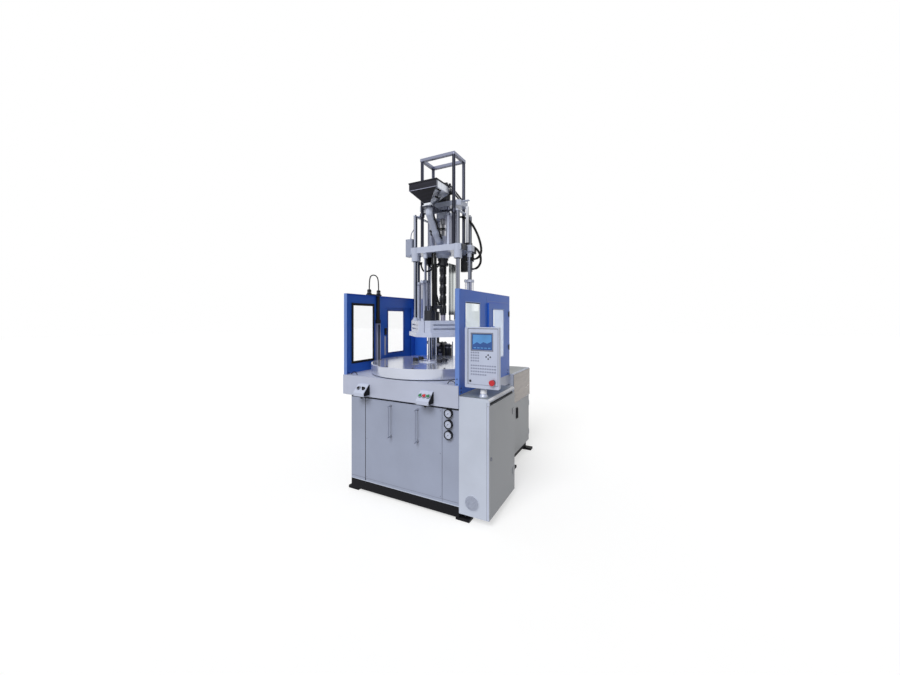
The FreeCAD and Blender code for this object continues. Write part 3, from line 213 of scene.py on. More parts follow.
def frame_with_painted_light(name, post, edge, ring, share):
    """Dark polished posts with painted highlights along them, below a ring painted lighter as lit; share
    is the ring's start.
    """
    material, tree, shader = new_material(name, Roughness=0.3, Metallic=0.85)
    # painted highlights: pale stripes along the dark posts
    reflection_streaks = noise(tree, 1, 2, (60, 60, 0.3))
    posts = ramp(tree, reflection_streaks, (*post, 1), (*edge, 1), 0.5, 0.62)
    # painted light: the ring, above share, is lighter than the posts
    height = change_along(tree, "Z", grey(0), grey(1), share, share + 0.005)
    mix = add_node(tree, "Mix", modes={"data_type": "RGBA"}, Factor=height, A=posts, B=(*ring, 1))
    settle(shader, Base_Color=mix.outputs["Result"])
    return material


def lit(name, colour, spread, scale, detail, **values):
    """Screen or pane whose colour varies by a spread; its Emission Strength makes it shine."""
    material, tree, shader = new_material(name, **values)
    tone = ramp(tree, noise(tree, scale, detail), shade(colour, 1 - spread), shade(colour, 1 + spread))
    settle(shader, Base_Color=tone, Emission_Color=tone)
    return material


def pane(name, colour, roughness, alpha, glare=0):
    return lit(name, colour, 0.05, 6, 3, Roughness=roughness, Emission_Strength=glare,
               Alpha=alpha, IOR=1.3)


def screen(name, colour):
    return lit(name, colour, 0.15, 8, 2, Roughness=0.2, Emission_Strength=0.8)


frame_low, frame_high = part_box("top_frame")
RING_SHARE = 1 - FRAME_RING * MM / (frame_high.z - frame_low.z)

MATERIALS = {
    "panel": finish("panel_grey_powder_coat", (0.5, 0.54, 0.64), 0.42, grain=700),
    # painted shade: a darker copy of the panel paint for the sides away from the light
    "side": finish("side_grey_painted_shade", (0.33, 0.345, 0.375), 0.42, grain=700),
    "housing": finish("housing_grey_powder_coat", (0.3, 0.332, 0.435), 0.4, grain=700),
    "panel_dark": finish("shaded_panel_grey", (0.17, 0.18, 0.23), 0.45, grain=700),
    "cast": finish("cast_grey_paint", (0.45, 0.48, 0.6), 0.34, grain=260, strength=0.2),
    "light": finish("light_grey_gloss_paint", (0.47, 0.51, 0.64), 0.28, grain=300, coat=0.3),
    "blue": finish("blue_powder_coat", (0.024, 0.13, 0.6), 0.36, grain=700, specular=0.3),
    # dark and pale copies of the blue: painted shade and painted highlight for edges
    "blue_painted_shade": finish("blue_edge_painted_shade", (0.01, 0.05, 0.3), 0.36, grain=700),
    "blue_edge": finish("blue_edge_painted_highlight", (0.12, 0.22, 0.55), 0.36, grain=700),
    "black": finish("black_paint", (0.006, 0.006, 0.008), 0.5, grain=500, specular=0.12),
    "black_steel": finish("black_oxide_steel", (0.012, 0.013, 0.02), 0.34, grain=400, specular=0.4),
    "rubber": finish("black_rubber", (0.006, 0.006, 0.007), 0.48, grain=500, strength=0.25,
                     specular=0.25),
    "plastic": finish("matt_black_plastic", (0.01, 0.01, 0.013), 0.5, specular=0.25),
    # The striped metals here have painted reflections along Z. The columns' right half gets painted
    # shade, and the frame's ring gets painted light.
    "chrome": painted_reflection_metal("hard_chrome", (0.045, 0.055, 0.085), (0.52, 0.55, 0.67), 0.18, lines=60,
                       low=0.49),
    "column_chrome": painted_reflection_metal("column_chrome", (0.05, 0.06, 0.09), (0.52, 0.55, 0.67), 0.18,
                              lines=60, low=0.47, high=0.6, right=0.5),
    "frame_chrome": frame_with_painted_light("chromed_frame", (0.028, 0.03, 0.045), (0.17, 0.18, 0.25),
                                 (0.23, 0.245, 0.33), RING_SHARE),
    "steel": painted_reflection_metal("machined_steel", (0.07, 0.075, 0.09), (0.42, 0.42, 0.46), 0.3),
    "nozzle": finish("nozzle_steel", (0.42, 0.4, 0.5), 0.36, 0.7, grain=240),
    "ground": finish("ground_table_steel", (0.57, 0.6, 0.7), 0.17, 0.6, grain=300),
    "stainless": painted_reflection_metal("stainless_sheet", (0.24, 0.26, 0.26), (0.84, 0.88, 0.87), 0.22,
                          lines=18, low=0.4, high=0.52),
    "hopper_sheet": painted_reflection_metal("hopper_sheet_painted_reflections", (0.12, 0.13, 0.16), (0.7, 0.73, 0.8), 0.22,
                             lines=12, low=0.38, high=0.5),
    # painted shade: the dark finish for faces in shade, also the light curtain's dark lens
    "dark_lens_and_painted_shade": finish("dark_lens_and_painted_shade_finish", (0.012, 0.012, 0.02), 0.34, grain=140,
                        variation=0.6, stretch=(1, 1, 12), specular=0.22),
    "heater": painted_reflection_metal("heater_sheet", (0.03, 0.03, 0.035), (0.5, 0.52, 0.5), 0.28, lines=36,
                       low=0.46, high=0.6),
    "tube": painted_reflection_metal("cylinder_tube", (0.1, 0.12, 0.19), (0.5, 0.54, 0.67), 0.26, 0.3,
                     lines=30, low=0.42, high=0.54),
    "bronze": finish("machined_bronze", (0.42, 0.28, 0.12), 0.32, 1, grain=240),
    "aluminium": finish("satin_aluminium", (0.46, 0.5, 0.63), 0.34, 0.2, grain=600),
    "key": finish("grey_keys", (0.22, 0.24, 0.34), 0.45),
    "white": finish("white_plastic", (0.72, 0.73, 0.78), 0.35),
    "green": finish("green_plastic", (0.01, 0.16, 0.05), 0.3),
    "red": finish("red_plastic", (0.5, 0.012, 0.02), 0.28),
    "lid": finish("grey_gloss_top", (0.21, 0.235, 0.25), 0.34, grain=260),
    "silver": finish("silver_profile", (0.34, 0.35, 0.46), 0.34, 0.6, grain=300, stretch=(1, 1, 8)),
    # painted reflection: the warm, mottled colour of a reflection on the power unit's upper side
    "painted_warm_reflection": finish("side_painted_warm_reflection", (0.28, 0.245, 0.225), 0.24, 0.3, grain=180,
                         variation=0.2, stretch=(6, 1, 6)),
    "pane": pane("clear_polycarbonate", (0.9, 0.95, 1), 0.04, 0.05),
    # painted glare: the right panes shine by emission and are less clear, as if they reflected light
    "pane_painted_glare": pane("polycarbonate_painted_glare", (0.8, 0.86, 0.88), 0.05, 0.45, 0.45),
    "screen": screen("lit_screen", (0.008, 0.04, 0.15)),
    "screen_light": screen("lit_screen_sky", (0.045, 0.15, 0.33)),
}

NODE_FINISH = {
    "black": "base_beams",
    "housing": "base_housing front_cover cover_handles junction_box",
    "cast": "bed_plate",
    "bronze": "tie_bar_bushes",
    "steel": "table_bearing clamp_cylinder crosshead screw oil_tank",
    "ground": "rotary_table",
    "chrome": "clamp_rod tie_bars carriage_rods injection_rods",
    "column_chrome": "guide_columns",
    "frame_chrome": "top_frame",
    "black_steel": "tie_bar_nuts barrel hydraulic_motor oil_manifold pump_set",
    "light": "platen carriage_plate feed_throat drive_plate feed_pipe hmi_pedestal "
             "button_box_left button_box_right",
    "tube": "carriage_cylinders injection_cylinders",
    "stainless": "barrel_guard",
    "nozzle": "nozzle",
    "hopper_sheet": "hopper",
    "blue": "left_guard right_guard left_guard_door right_guard_door",
    "pane": "guard_panes left_door_pane",
    "pane_painted_glare": "right_door_pane",
    "silver": "light_curtain",
    "rubber": "curtain_cable heater_cables hydraulic_hoses",
    "plastic": "pressure_gauges power_unit_handle start_button_left",
    "panel": "electrical_cabinet power_unit_housing",
    "side": "cabinet_door power_unit_door",
    "aluminium": "hmi_panel",
    "red": "hmi_stop_button stop_button",
    "green": "start_button_right clamp_open_button",
}


def paint_nodes():
    for key, names in NODE_FINISH.items():
        for name in names.split():
            obj = NODES[name]
            if not obj.material_slots:
                obj.data.materials.append(MATERIALS[key])
            for slot in obj.material_slots:
                slot.material = MATERIALS[key]


# ---------------- mesh building

SHARP = radians(40)  # edges above this angle stay sharp
pieces = []  # each Piece, filled when all of them have their forms


def new_object(name, data):
    obj = bpy.data.objects.new(name, data)
    bpy.context.scene.collection.objects.link(obj)
    return obj


def add_object(name, data, key, body):
    """Object in the scene with a finish, on a body."""
    obj = new_object(name, data)
    data.materials.append(MATERIALS[key])
    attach(obj, body)
    return obj


class Piece:
    """One piece of a finish, on a body; edge is the width of its rounded edges. Its forms, in
    machine millimetres, are collected first, each returning the piece, and fill makes the mesh."""

    def __init__(self, name, key, body="machine", edge=0):
        self.bm = bmesh.new()
        self.obj = add_object(name, bpy.data.meshes.new(name), key, body)
        if edge:
            bevel = self.obj.modifiers.new("edges", "BEVEL")
            bevel.width = edge * MM
            bevel.segments = 2
            bevel.limit_method = "ANGLE"
        pieces.append(self)

    def fill(self):
        mesh = self.obj.data
        bmesh.ops.recalc_face_normals(self.bm, faces=self.bm.faces)
        self.bm.to_mesh(mesh)
        self.bm.free()
        for polygon in mesh.polygons:
            polygon.use_smooth = True
        mesh.set_sharp_from_angle(angle=SHARP)

    def box(self, x0, x1, y0, y1, z0, z1):
        """Box between two corners, in any order."""
        a, b = place(x0, y0, z0), place(x1, y1, z1)
        size = [abs(side) for side in b - a]
        matrix = Matrix.Translation((a + b) / 2) @ Matrix.Diagonal((*size, 1))
        bmesh.ops.create_cube(self.bm, size=1, matrix=matrix)
        return self

    def sheets(self, y0, y1, *faces):
        """Upright plates from y0 to y1, each given as x0, x1, z0, z1."""
        for x0, x1, z0, z1 in faces:
            self.box(x0, x1, y0, y1, z0, z1)
        return self

    def bar(self, start, end, radius, sides=24, end_radius=None):
        a, b = place(*start), place(*end)
        turn = (b - a).to_track_quat("Z", "Y").to_matrix().to_4x4()
        matrix = Matrix.Translation((a + b) / 2) @ turn
        last = radius if end_radius is None else end_radius
        bmesh.ops.create_cone(self.bm, cap_ends=True, segments=sides, radius1=radius * MM,
                              radius2=last * MM, depth=(b - a).length, matrix=matrix)
        return self

    def bars(self, points, radius, sides):
        for start, end in zip(points, points[1:]):
            self.bar(start, end, radius, sides)
        return self

    def skin(self, rings, closed=False):
        """Faces between rings of points in metres, capped unless the last ring meets the first."""
        loops = [[self.bm.verts.new(point) for point in ring] for ring in rings]
        following = loops[1:] + loops[:1] if closed else loops[1:]
        for low, high in zip(loops, following):
            for i in range(len(low)):
                j = (i + 1) % len(low)
                self.bm.faces.new((low[i], low[j], high[j], high[i]))
        if not closed:
            self.bm.faces.new(list(reversed(loops[0])))
            self.bm.faces.new(loops[-1])
        return self

    def turned(self, start, direction, profile, sides=32, core=False):
        """Revolve (radius, height) points about a line; core leaves the middle open."""
        origin = place(*start)
        turn = Vector(direction).to_track_quat("Z", "Y").to_matrix()
        around = circle(sides, 1, 0, 0, 0)
        rings = [[origin + turn @ Vector((radius * x, radius * y, height)) * MM for x, y in around]
                 for radius, height in profile]
        return self.skin(rings, core)

    def bolt(self, at, direction, radius, height):
        """Socket-head screw with a bevelled head and a sunk drive."""
        socket = radius * 0.55
        profile = [(radius, 0), (radius, height - 1), (radius - 1, height), (socket, height),
                   (socket, height * 0.45), (0.1, height * 0.4)]
        return self.turned(at, direction, profile, 16)

    def ring(self, at, direction, inner, outer, height):
        """Ring of rectangular section with a softened outer edge."""
        profile = [(inner, 0), (outer, 0), (outer, height - 1), (outer - 1, height), (inner, height)]
        return self.turned(at, direction, profile, 36, True)

    def pipe(self, points, radius, bend, sides=16):
        """Hard pipe along points, each corner rounded to the bend's length."""
        spots = [place(*point) for point in points]
        path = [spots[0]]
        for before, at, after in zip(spots, spots[1:], spots[2:]):
            reach = min(bend * MM, (before - at).length / 2, (after - at).length / 2)
            start = at + (before - at).normalized() * reach
            end = at + (after - at).normalized() * reach
            for i in range(9):
                t = i / 8
                path.append(start * (1 - t) ** 2 + at * 2 * t * (1 - t) + end * t ** 2)
        path.append(spots[-1])
        side = (path[1] - path[0]).orthogonal()
        rings = []
        for i, spot in enumerate(path):
            along = (path[min(i + 1, len(path) - 1)] - path[max(i - 1, 0)]).normalized()
            side = (side - along * side.dot(along)).normalized()
            turns = [Matrix.Rotation(2 * pi * k / sides, 3, along) for k in range(sides)]
            rings.append([spot + turn @ side * radius * MM for turn in turns])
        return self.skin(rings)

    def plate(self, outline, direction, thickness):
        """Extrude a closed outline along direction."""
        face = self.bm.faces.new([self.bm.verts.new(place(*point)) for point in outline])
        grown = bmesh.ops.extrude_face_region(self.bm, geom=[face])
        moved = [g for g in grown["geom"] if isinstance(g, bmesh.types.BMVert)]
        shift = Vector(direction).normalized() * thickness * MM
        bmesh.ops.translate(self.bm, verts=moved, vec=shift)
        return self


# ---------------- base and bed

def dress_base():
    x0, x1, y0, _, z0, z1 = extent("front_cover")
    screws = Piece("cover_screws", "panel_dark")
    for x in (x0 + 14, x1 - 14):
        for z in (z0 + 14, (z0 + z1) / 2, z1 - 14):
            screws.bolt((x, y0, z), FRONT, 4, 2)
    gx0, gx1, gy0, _, gz0, gz1 = extent("cover_handles")
    radius = (gx1 - gx0 - HANDLE_PITCH) / 2
    roses = Piece("handle_roses", "panel_dark")
    caps = Piece("handle_end_caps", "panel_dark")
    for x in (gx0 + radius, gx1 - radius):
        for z in (gz0 + radius, gz1 - radius):
            roses.turned((x, y0, z), FRONT, [(11, 0), (11, 2), (9, 4), (radius, 5)], 24)
            caps.turned((x, gy0 + 0.5, z), FRONT, [(4, 0), (4, 1.5), (2.5, 2)], 16)
    hx0, hx1, hy0, _, hz0, hz1 = extent("base_housing")
    # the seam at the cover's left, and a painted shadow of the bed's apron along the housing's top
    Piece("left_cover_seam_and_apron_shadow", "black").sheets(
        hy0 - 0.8, hy0, (x0 - 8.5, x0 - 0.4, hz0 + 6, hz1 - 4), (hx0 + 2, hx1 - 2, hz1 - 9, hz1 - 0.4))
    Piece("cover_seams", "panel_dark").sheets(
        hy0 - 0.8, hy0, (x1 + 0.4, x1 + 3, hz0 + 6, hz1 - 4), (hx0 + 6, hx1 - 6, z0 - 4, z0 - 0.4))
    Piece("housing_bottom_lip", "panel").box(hx0, hx1, hy0 - 1.2, hy0, hz0, hz0 + 6)


def dress_bed():
    x0, x1, _, _, z0, z1 = extent("bed_plate")
    Piece("bed_shadow_strip", "black").box(x0 + 9, x1 - 9, 9, 12, z0, z0 + 8)
    wide, tall, steps = 34, 26, 10
    loops = Piece("bed_lifting_loops", "plastic")
    for x in (x0 + 62, x1 - 118):
        angles = [pi * i / steps for i in range(steps + 1)]
        loops.bars([(x + wide * (1 - cos(a)), 34, z1 + tall * sin(a)) for a in angles], 3.5, 12)


def dress_table():
    x0, x1, _, _, _, z1 = extent("rotary_table")
    y = middle("rotary_table")[1]
    screws = Piece("table_screws", "black_steel", "table")
    for at in circle(12, (x1 - x0) / 2 - 45, 0, y, 15):
        screws.bolt((*at, z1), UP, 9, 4)
    for at in circle(8, 88, 0, y, 22.5):
        screws.bolt((*at, z1), UP, 8, 5)
    hub = [(112, 0), (112, 6), (108, 10), (60, 10), (56, 8), (56, 0)]
    Piece("table_hub_ring", "ground", "table").turned((0, y, z1), UP, hub, 64, True)
    wiper = [(44.5, 0), (44.5, 12), (40, 18), (27, 22), (24, 22), (24, 0)]
    Piece("front_bar_wiper", "silver").turned((0, y, z1 - 3.6), UP, wiper, 40, True)
    blocks = Piece("table_water_blocks", "black_steel", "table", 2)
    reach, angle = 150, radians(20)
    for bx, by in corners(0, y, reach * cos(angle), reach * sin(angle)):
        blocks.box(bx - 22, bx + 22, by - 16, by + 16, z1, z1 + 34)
        blocks.bar((bx + 22, by, z1 + 17), (bx + 40, by, z1 + 17), 7, 12)


# ---------------- gauges and controls

def dress_gauges():
    x0, x1, y0, _, z0, z1 = extent("pressure_gauges")
    x, radius, seat = (x0 + x1) / 2, (x1 - x0) / 2, GAUGE_SEAT
    rim = [(radius - 6, 0), (radius + 0.4, 0), (radius + 0.8, 2), (radius - 1, 4), (radius - 5, 3),
           (radius - 6, 1)]
    dials = Piece("gauge_dials", "light")
    marks = Piece("gauge_marks", "black")
    needles = Piece("gauge_needles", "black")
    rims = Piece("gauge_rims", "black")
    for z in (z0 + radius, (z0 + z1) / 2, z1 - radius):
        dials.turned((x, seat + 0.5, z), FRONT, [(radius - 6.2, 0), (radius - 6.2, 1.6)], 48)
        rims.turned((x, y0 + 1, z), FRONT, rim, 48, True)
        for j in range(11):
            angle = radians(225 - 27 * j)
            inner, outer = [(x + reach * cos(angle), seat - 1.3, z + reach * sin(angle))
                            for reach in (20, 26)]
            marks.bar(inner, outer, 0.7, 6)
        needles.bar((x, seat - 1.8, z), (x - 14, seat - 1.8, z - 13), 0.9, 8, 0.3)
        needles.turned((x, seat - 1, z), FRONT, [(3.5, 0), (3.5, 1.5), (2, 2)], 16)


def dress_operator_panel():
    body = "operator_panel"
    x0, x1, y0, _, z0, z1 = extent("hmi_panel")
    px0, px1, pz0, pz1 = x0 + 30, x1 - 10, z0 + 30, z1 - 14  # front plate
    sx0, sx1, sz0, sz1 = x0 + 60, x0 + 230, *SCREEN_Z  # screen
    rim, thick, glass = 9, 1.4, y0 + 6
    fx0, fx1, fz0, fz1 = sx0 - rim, sx1 + rim, sz0 - rim, sz1 + rim
    Piece("panel_front_plate", "aluminium", body).sheets(
        y0 - thick, y0, (px0, fx0, pz0, pz1), (fx1, px1, pz0, pz1), (fx0, fx1, pz0, fz0),
        (fx0, fx1, fz1, pz1))
    Piece("panel_plate_seam", "black", body).sheets(
        y0 - 1, y0, (px0 - 5, px0, pz0 - 3, pz1 + 3), (px0 - 5, px1, pz1, pz1 + 4))
    Piece("panel_plate_step", "panel_dark", body).sheets(
        y0 - 1, y0, (px0 - 5, px1 + 3, pz0 - 3, pz0), (px1, px1 + 3, pz0 - 3, pz1))
    Piece("screen_frame", "panel_dark", body, 1).sheets(
        y0 - 2.2, y0, (fx0, fx1, fz0, sz0), (fx0, fx1, sz1, fz1), (fx0, sx0, sz0, sz1),
        (sx1, fx1, sz0, sz1))
    Piece("screen_glass", "screen", body).sheets(
        glass - 1.6, glass - 0.1, (sx0 + 1, sx1 - 1, sz0 + 1, sz1 - 1))
    hills = ((8, 117), (162, 117), (162, 66), (126, 50), (96, 62), (70, 46), (42, 60), (8, 40))
    fields = Piece("screen_fields", "screen_light", body).plate(
        [(sx0 + dx, glass - 1.7, sz0 + dz) for dx, dz in hills], FRONT, 0.5)
    for dx in range(14, 135, 30):
        fields.box(sx0 + dx, sx0 + dx + 20, glass - 2.2, glass - 1.7, sz0 + 12, sz0 + 19)
    keys = Piece("panel_keys", "key", body, 1)
    small = [(19 * i, 1336 - 21 * row, 12, 11) for row in range(4) for i in range(4)]
    wide = [(19.5 * i, 1236 - 23 * row, 13, 10) for row in range(4) for i in range(11 if row < 3 else 7)]
    for along, top, width, tall in small + wide:
        left = px0 + 22 + along
        keys.box(left, left + width, y0 - 3, y0 - thick, top - tall, top)
    arrows = Piece("panel_arrow_keys", "plastic", body)
    for dx, dz in ((0, 15), (0, -15), (17, 0), (-17, 0)):
        arrows.turned((x0 + 198 + dx, y0 - thick, 1301 + dz), FRONT, [(6, 0), (6, 1.6), (4.5, 2.4)], 20)
    arrows.turned((px0 + 18, y0 - thick, 1109), FRONT, [(9, 0), (9, 4), (7, 6), (2.5, 6)], 28)
    Piece("panel_key_slot", "steel", body).box(
        px0 + 17, px0 + 19, y0 - thick - 6.6, y0 - thick - 6, 1104, 1114)
    ex0, ex1, _, _, ez0, ez1 = extent("hmi_stop_button")
    collar = [(15.6, 0), (21, 0), (21, 3), (18, 5), (15.6, 5)]
    Piece("stop_button_collar", "plastic", body).turned(
        ((ex0 + ex1) / 2, y0 - thick, (ez0 + ez1) / 2), FRONT, collar, 40, True)
    steps = [(22.2, 0), (27, 0), (27, 6), (24, 10), (24, 26), (22.2, 28)]
    foot = extent("hmi_pedestal")[4]
    Piece("pedestal_collar", "white").turned((*middle("hmi_pedestal"), foot + 30), UP, steps, 40, True)


def dress_button_boxes():
    slope = Vector((0, -1, 1)).normalized()
    gland = [(14, 0), (14, 6), (11, 7), (11, 18), (7, 24), (6, 24)]
    screws = Piece("button_box_screws", "steel")
    cheeks = Piece("button_box_cheeks", "black", edge=1)
    glands = Piece("button_box_glands", "plastic")
    faces = Piece("button_box_faces", "light")
    x0, x1, y0, _, z0, _ = extent("button_box_left")
    x, y, z = (x0 + x1) / 2 + 30, y0 + BOX_BEVEL / 2, z0 + BOX_TALL - BOX_BEVEL / 2
    knob = [(17, 0), (17, 4), (13, 4.5), (13, 11), (10, 13)]
    Piece("left_box_selector", "plastic").turned((x, y, z), slope, knob, 28)
    Piece("left_box_selector_grip", "plastic", edge=1).box(x - 3, x + 3, y - 22, y - 4, z + 1, z + 21)
    bezels = Piece("button_bezels", "plastic")
    for name, buttons in BOX_BUTTONS.items():
        x0, x1, y0, y1, z0, _ = extent(name)
        z1, back = z0 + BOX_TALL, y0 + BOX_BEVEL
        seat_y, seat_z = y0 + BOX_BEVEL / 2, z1 - BOX_BEVEL / 2  # middle of the slanted face
        for x in (x0 + 8, x1 - 8):
            screws.bolt((x, y0, z0 + 10), FRONT, 3.5, 2)
        cheeks.plate(
            [(x1, y0 + 4, z0 + 4), (x1, y1 - 2, z0 + 4), (x1, y1 - 2, z1 - 4), (x1, back + 2, z1 - 4),
             (x1, y0 + 4, z0 + 28)], RIGHT, 3)
        glands.turned(((x0 + x1) / 2 + 16, y0 + 30, z0), (0, -0.35, -1), gland, 18)
        faces.plate(
            [(x0 + 4, y0 + 3, z0 + 31), (x1 - 4, y0 + 3, z0 + 31), (x1 - 4, back - 2, z1 - 4),
             (x0 + 4, back - 2, z1 - 4)], slope, 0.8)
        for button in buttons:
            centre = Vector((middle(button)[0], seat_y, seat_z)) + slope * 0.6
            bezels.ring(centre, slope, 17.4, 20, 3.2)


def dress_cabinet():
    x0, x1, y0, _, _, z1 = extent("electrical_cabinet")
    dx0, dx1, _, _, dz0, dz1 = extent("cabinet_door")
    deep, door = CABINET_DEEP, "cabinet_door"
    vent = (VENT_X, y0, VENT_Z)
    Piece("vent_disc", "key").turned(vent, FRONT, [(62, 0), (62, 1.2), (60, 2)], 56)
    Piece("vent_ring", "panel").ring(vent, FRONT, VENT_R, 62.5, 3.4)
    grille = Piece("vent_grille", "panel")
    for off in range(-50, 51, 10):
        half = sqrt(VENT_R ** 2 - off ** 2)
        x, z = VENT_X + off, VENT_Z + off
        grille.sheets(y0 - 4, y0 - 1.6, (VENT_X - half, VENT_X + half, z - 1.6, z + 1.6),
                      (x - 1.6, x + 1.6, VENT_Z - half, VENT_Z + half))
    Piece("cabinet_lid_shadow", "black").box(dx0 - 0.6, dx0 + 1.2, 2, deep - 2, z1 - 51, z1 - 26.4)
    Piece("cabinet_lid_top", "lid").box(x0 + 3, x1 - 16, 5, deep - 5, z1, z1 + 0.9)
    # painted highlight: a white plate on the lid's bevel
    Piece("cabinet_lid_slope_painted_highlight", "white").plate(
        [(x1, 4, z1 - 13.5), (x1, deep - 4, z1 - 13.5), (x1 - 13.5, deep - 4, z1), (x1 - 13.5, 4, z1)],
        (1, 0, 1), 0.6)
    Piece("cabinet_lid_corner", "light").box(dx0 + 1.6, x1 - 0.3, 0.5, 14, z1 - 50.5, z1 - 26.2)
    hem = Piece("cabinet_door_hem", "light", door).bar(
        (dx1 - 5.4, 5, dz0 + 2), (dx1 - 5.4, 5, dz1 - 1), 5.8)
    hem.box(dx0 + 0.8, dx1 - 5, -0.8, 0, dz0 + 2, dz1 - 1)
    Piece("cabinet_front_seam", "panel_dark").box(dx0 - 1.6, dx0 + 0.2, -0.7, 0, dz0 + 3, dz1)
    hinges = Piece("cabinet_hinge_covers", "side", door, 2)
    for z in CABINET_HINGES:
        hinges.box(dx1, dx1 + 5, deep - 60, deep - 24, z - 26, z + 26)
    Piece("cabinet_lock", "panel_dark", door).turned(
        (dx1, 40, 520), RIGHT, [(14, 0), (14, 3), (11, 6), (3, 6)], 28)
    Piece("switchgear_plate", "steel", edge=1).box(x0 + 6, x0 + 9, 50, 555, 130, 880)
    gear = Piece("switchgear", "white", edge=2)
    ducts = Piece("cable_ducts", "panel", edge=1.5)
    for z, tall in ((240, 84), (420, 62), (600, 84), (770, 62)):
        gear.box(x0 + 9, x0 + 16, 70, 535, z - 17, z + 17)
        for y in range(80, 465, 64):
            gear.box(x0 + 16, x0 + 86, y, y + 54, z - tall / 2, z + tall / 2)
    for z in (150, 330, 510, 690, 860):
        ducts.box(x0 + 9, x0 + 60, 60, 545, z - 20, z + 20)


# ---------------- guards

def window_frame(window, width, x, depth, name, key, body="machine"):
    """Profile of a width round an upright window, by depth from x inwards or outwards."""
    y0, y1, z0, z1 = window
    made = Piece(name, key, body, 2)
    made.box(x, x + depth, y0 - width, y1 + width, z0 - width, z0)
    made.box(x, x + depth, y0 - width, y1 + width, z1, z1 + width)
    made.box(x, x + depth, y0 - width, y0, z0, z1)
    made.box(x, x + depth, y1, y1 + width, z0, z1)


def dress_guard(side, word):
    """Pieces of the guard on one side, -1 for the left and 1 for the right, and of its door."""
    z1 = z_top(word + "_guard")
    leaf = extent(word + "_guard_door")[2:]
    door = word + "_door"
    out = side * (GUARD_X + SHEET)  # outer face of the sheet
    face = side * (GUARD_X + DOOR_AIR + DOOR_T)  # outer face of the door
    inside = face - side * (SHEET + PANE_T)
    # the rubber that holds the fixed pane is thicker on the side towards the table
    window_frame(inset(WINDOW, 8), 24, side * (GUARD_X - PANE_T), -side * 5, word + "_window_gasket",
                 "rubber")
    # the pale blue of rims, edges and folds is painted highlight; the deep blue of the door's inner
    # frame and hem is painted shade
    window_frame(WINDOW, 8, out, side * 2.5, word + "_window_outer_gasket",
                 "blue_edge" if side > 0 else "rubber")
    window_frame(DOOR_WINDOW, 9, face, side * 2.5, word + "_door_gasket", "blue_edge", door)
    window_frame(inset(DOOR_WINDOW, 4), 14, inside, -side * 3, word + "_door_inner_gasket", "blue_painted_shade",
                 door)
    window_frame(inset(leaf, 16), 8, inside, -side * 1.5, word + "_door_inner_hem", "blue_painted_shade", door)
    # on the right, a pane with painted glare over the fixed window
    if side > 0:
        Piece("right_window_glare", "pane_painted_glare").box(out, out + side, *inset(WINDOW, 8))
    # painted highlight: the pale blue on the front edge and the folds
    Piece(word + "_guard_front_edge", "blue_edge").box(side * (GUARD_X - 34), out, -0.8, 0, 1064.5, z1)
    fold = Piece(word + "_doorway_fold", "blue_edge").box(out, out + side * 1.6, 560, 563, 1050, z1 - 14)
    fold.box(out, out + side * 1.6, 560, 1180, 1755, 1758)
    screws = Piece(word + "_guard_screws", "black_steel")
    hinges = Piece(word + "_door_hinge_covers", "plastic", door, 3)
    for y in (30, 560, 1150):
        for z in (1010, 1040):
            screws.bolt((out, y, z), (side, 0, 0), 6, 4)
    for z in GUARD_HINGES:
        hinges.box(face, face + side * 4.5, leaf[1] - 62, leaf[1] - 22, z - 26, z + 26)
    Piece(word + "_door_grip_plate", "blue_edge", door, 1).box(
        face, face + side * 3, 618, 650, 1380, 1520)
    Piece(word + "_door_latch", "plastic", door, 3).box(
        inside + side * 4, inside - side * 14, 612, 646, 1412, 1488)
    Piece(word + "_door_seal_strip", "silver", door, 2).box(
        inside + side * 4, inside - side * 3, 614, 644, 1190, 1396)


def dress_guards():
    dress_guard(-1, "left")
    dress_guard(1, "right")
    screws = Piece("right_flange_screws", "black_steel")
    for z in (1075, 1115):
        screws.bolt((GUARD_X - 17, 0, z), FRONT, 5, 3)


def dress_light_curtain():
    x0 = extent("light_curtain")[0]
    back, front, y = x0 + SHEET, x0 + SHEET + CURTAIN_POST, CURTAIN_Y[1]
    cover = Piece("curtain_upper_cover", "plastic", edge=2).box(
        back + 3, front - 3, y - 19, y + 19, 1560, 1830)
    cover.box(back, front + 1.5, y - 29, y + 29, 1540, 1580)
    Piece("curtain_lens", "dark_lens_and_painted_shade").box(front, front + 1.6, y - 12, y + 12, 1110, 1530)
    Piece("curtain_foot_cap", "plastic", edge=2).box(x0 + 2, front + 2.5, y - 30, y + 30, 1064, 1096)
    nuts = Piece("curtain_gland_nuts", "plastic")
    for gland_y in CURTAIN_Y:
        nuts.turned((CURTAIN_X, gland_y, 1845), UP,
                    [(13.4, 0), (25, 0), (25, 14), (22, 17), (13.4, 17)], 6, True)
        nuts.turned((CURTAIN_X, gland_y, 1866), UP,
                    [(13.4, 0), (21, 0), (21, 20), (14.4, 27), (13.4, 27)], 24, True)
    Piece("curtain_bracket_cover", "plastic", edge=1.5).box(
        x0 - 0.5, x0 + 46, CURTAIN_Y[0] - 23, y + 23, 1832.6, 1846)


# ---------------- tower

def column_places():
    x0, x1, y0, y1 = extent("guide_columns")[:4]
    return corners((x0 + x1) / 2, (y0 + y1) / 2, (x1 - x0) / 2 - COLUMN_R, (y1 - y0) / 2 - COLUMN_R)


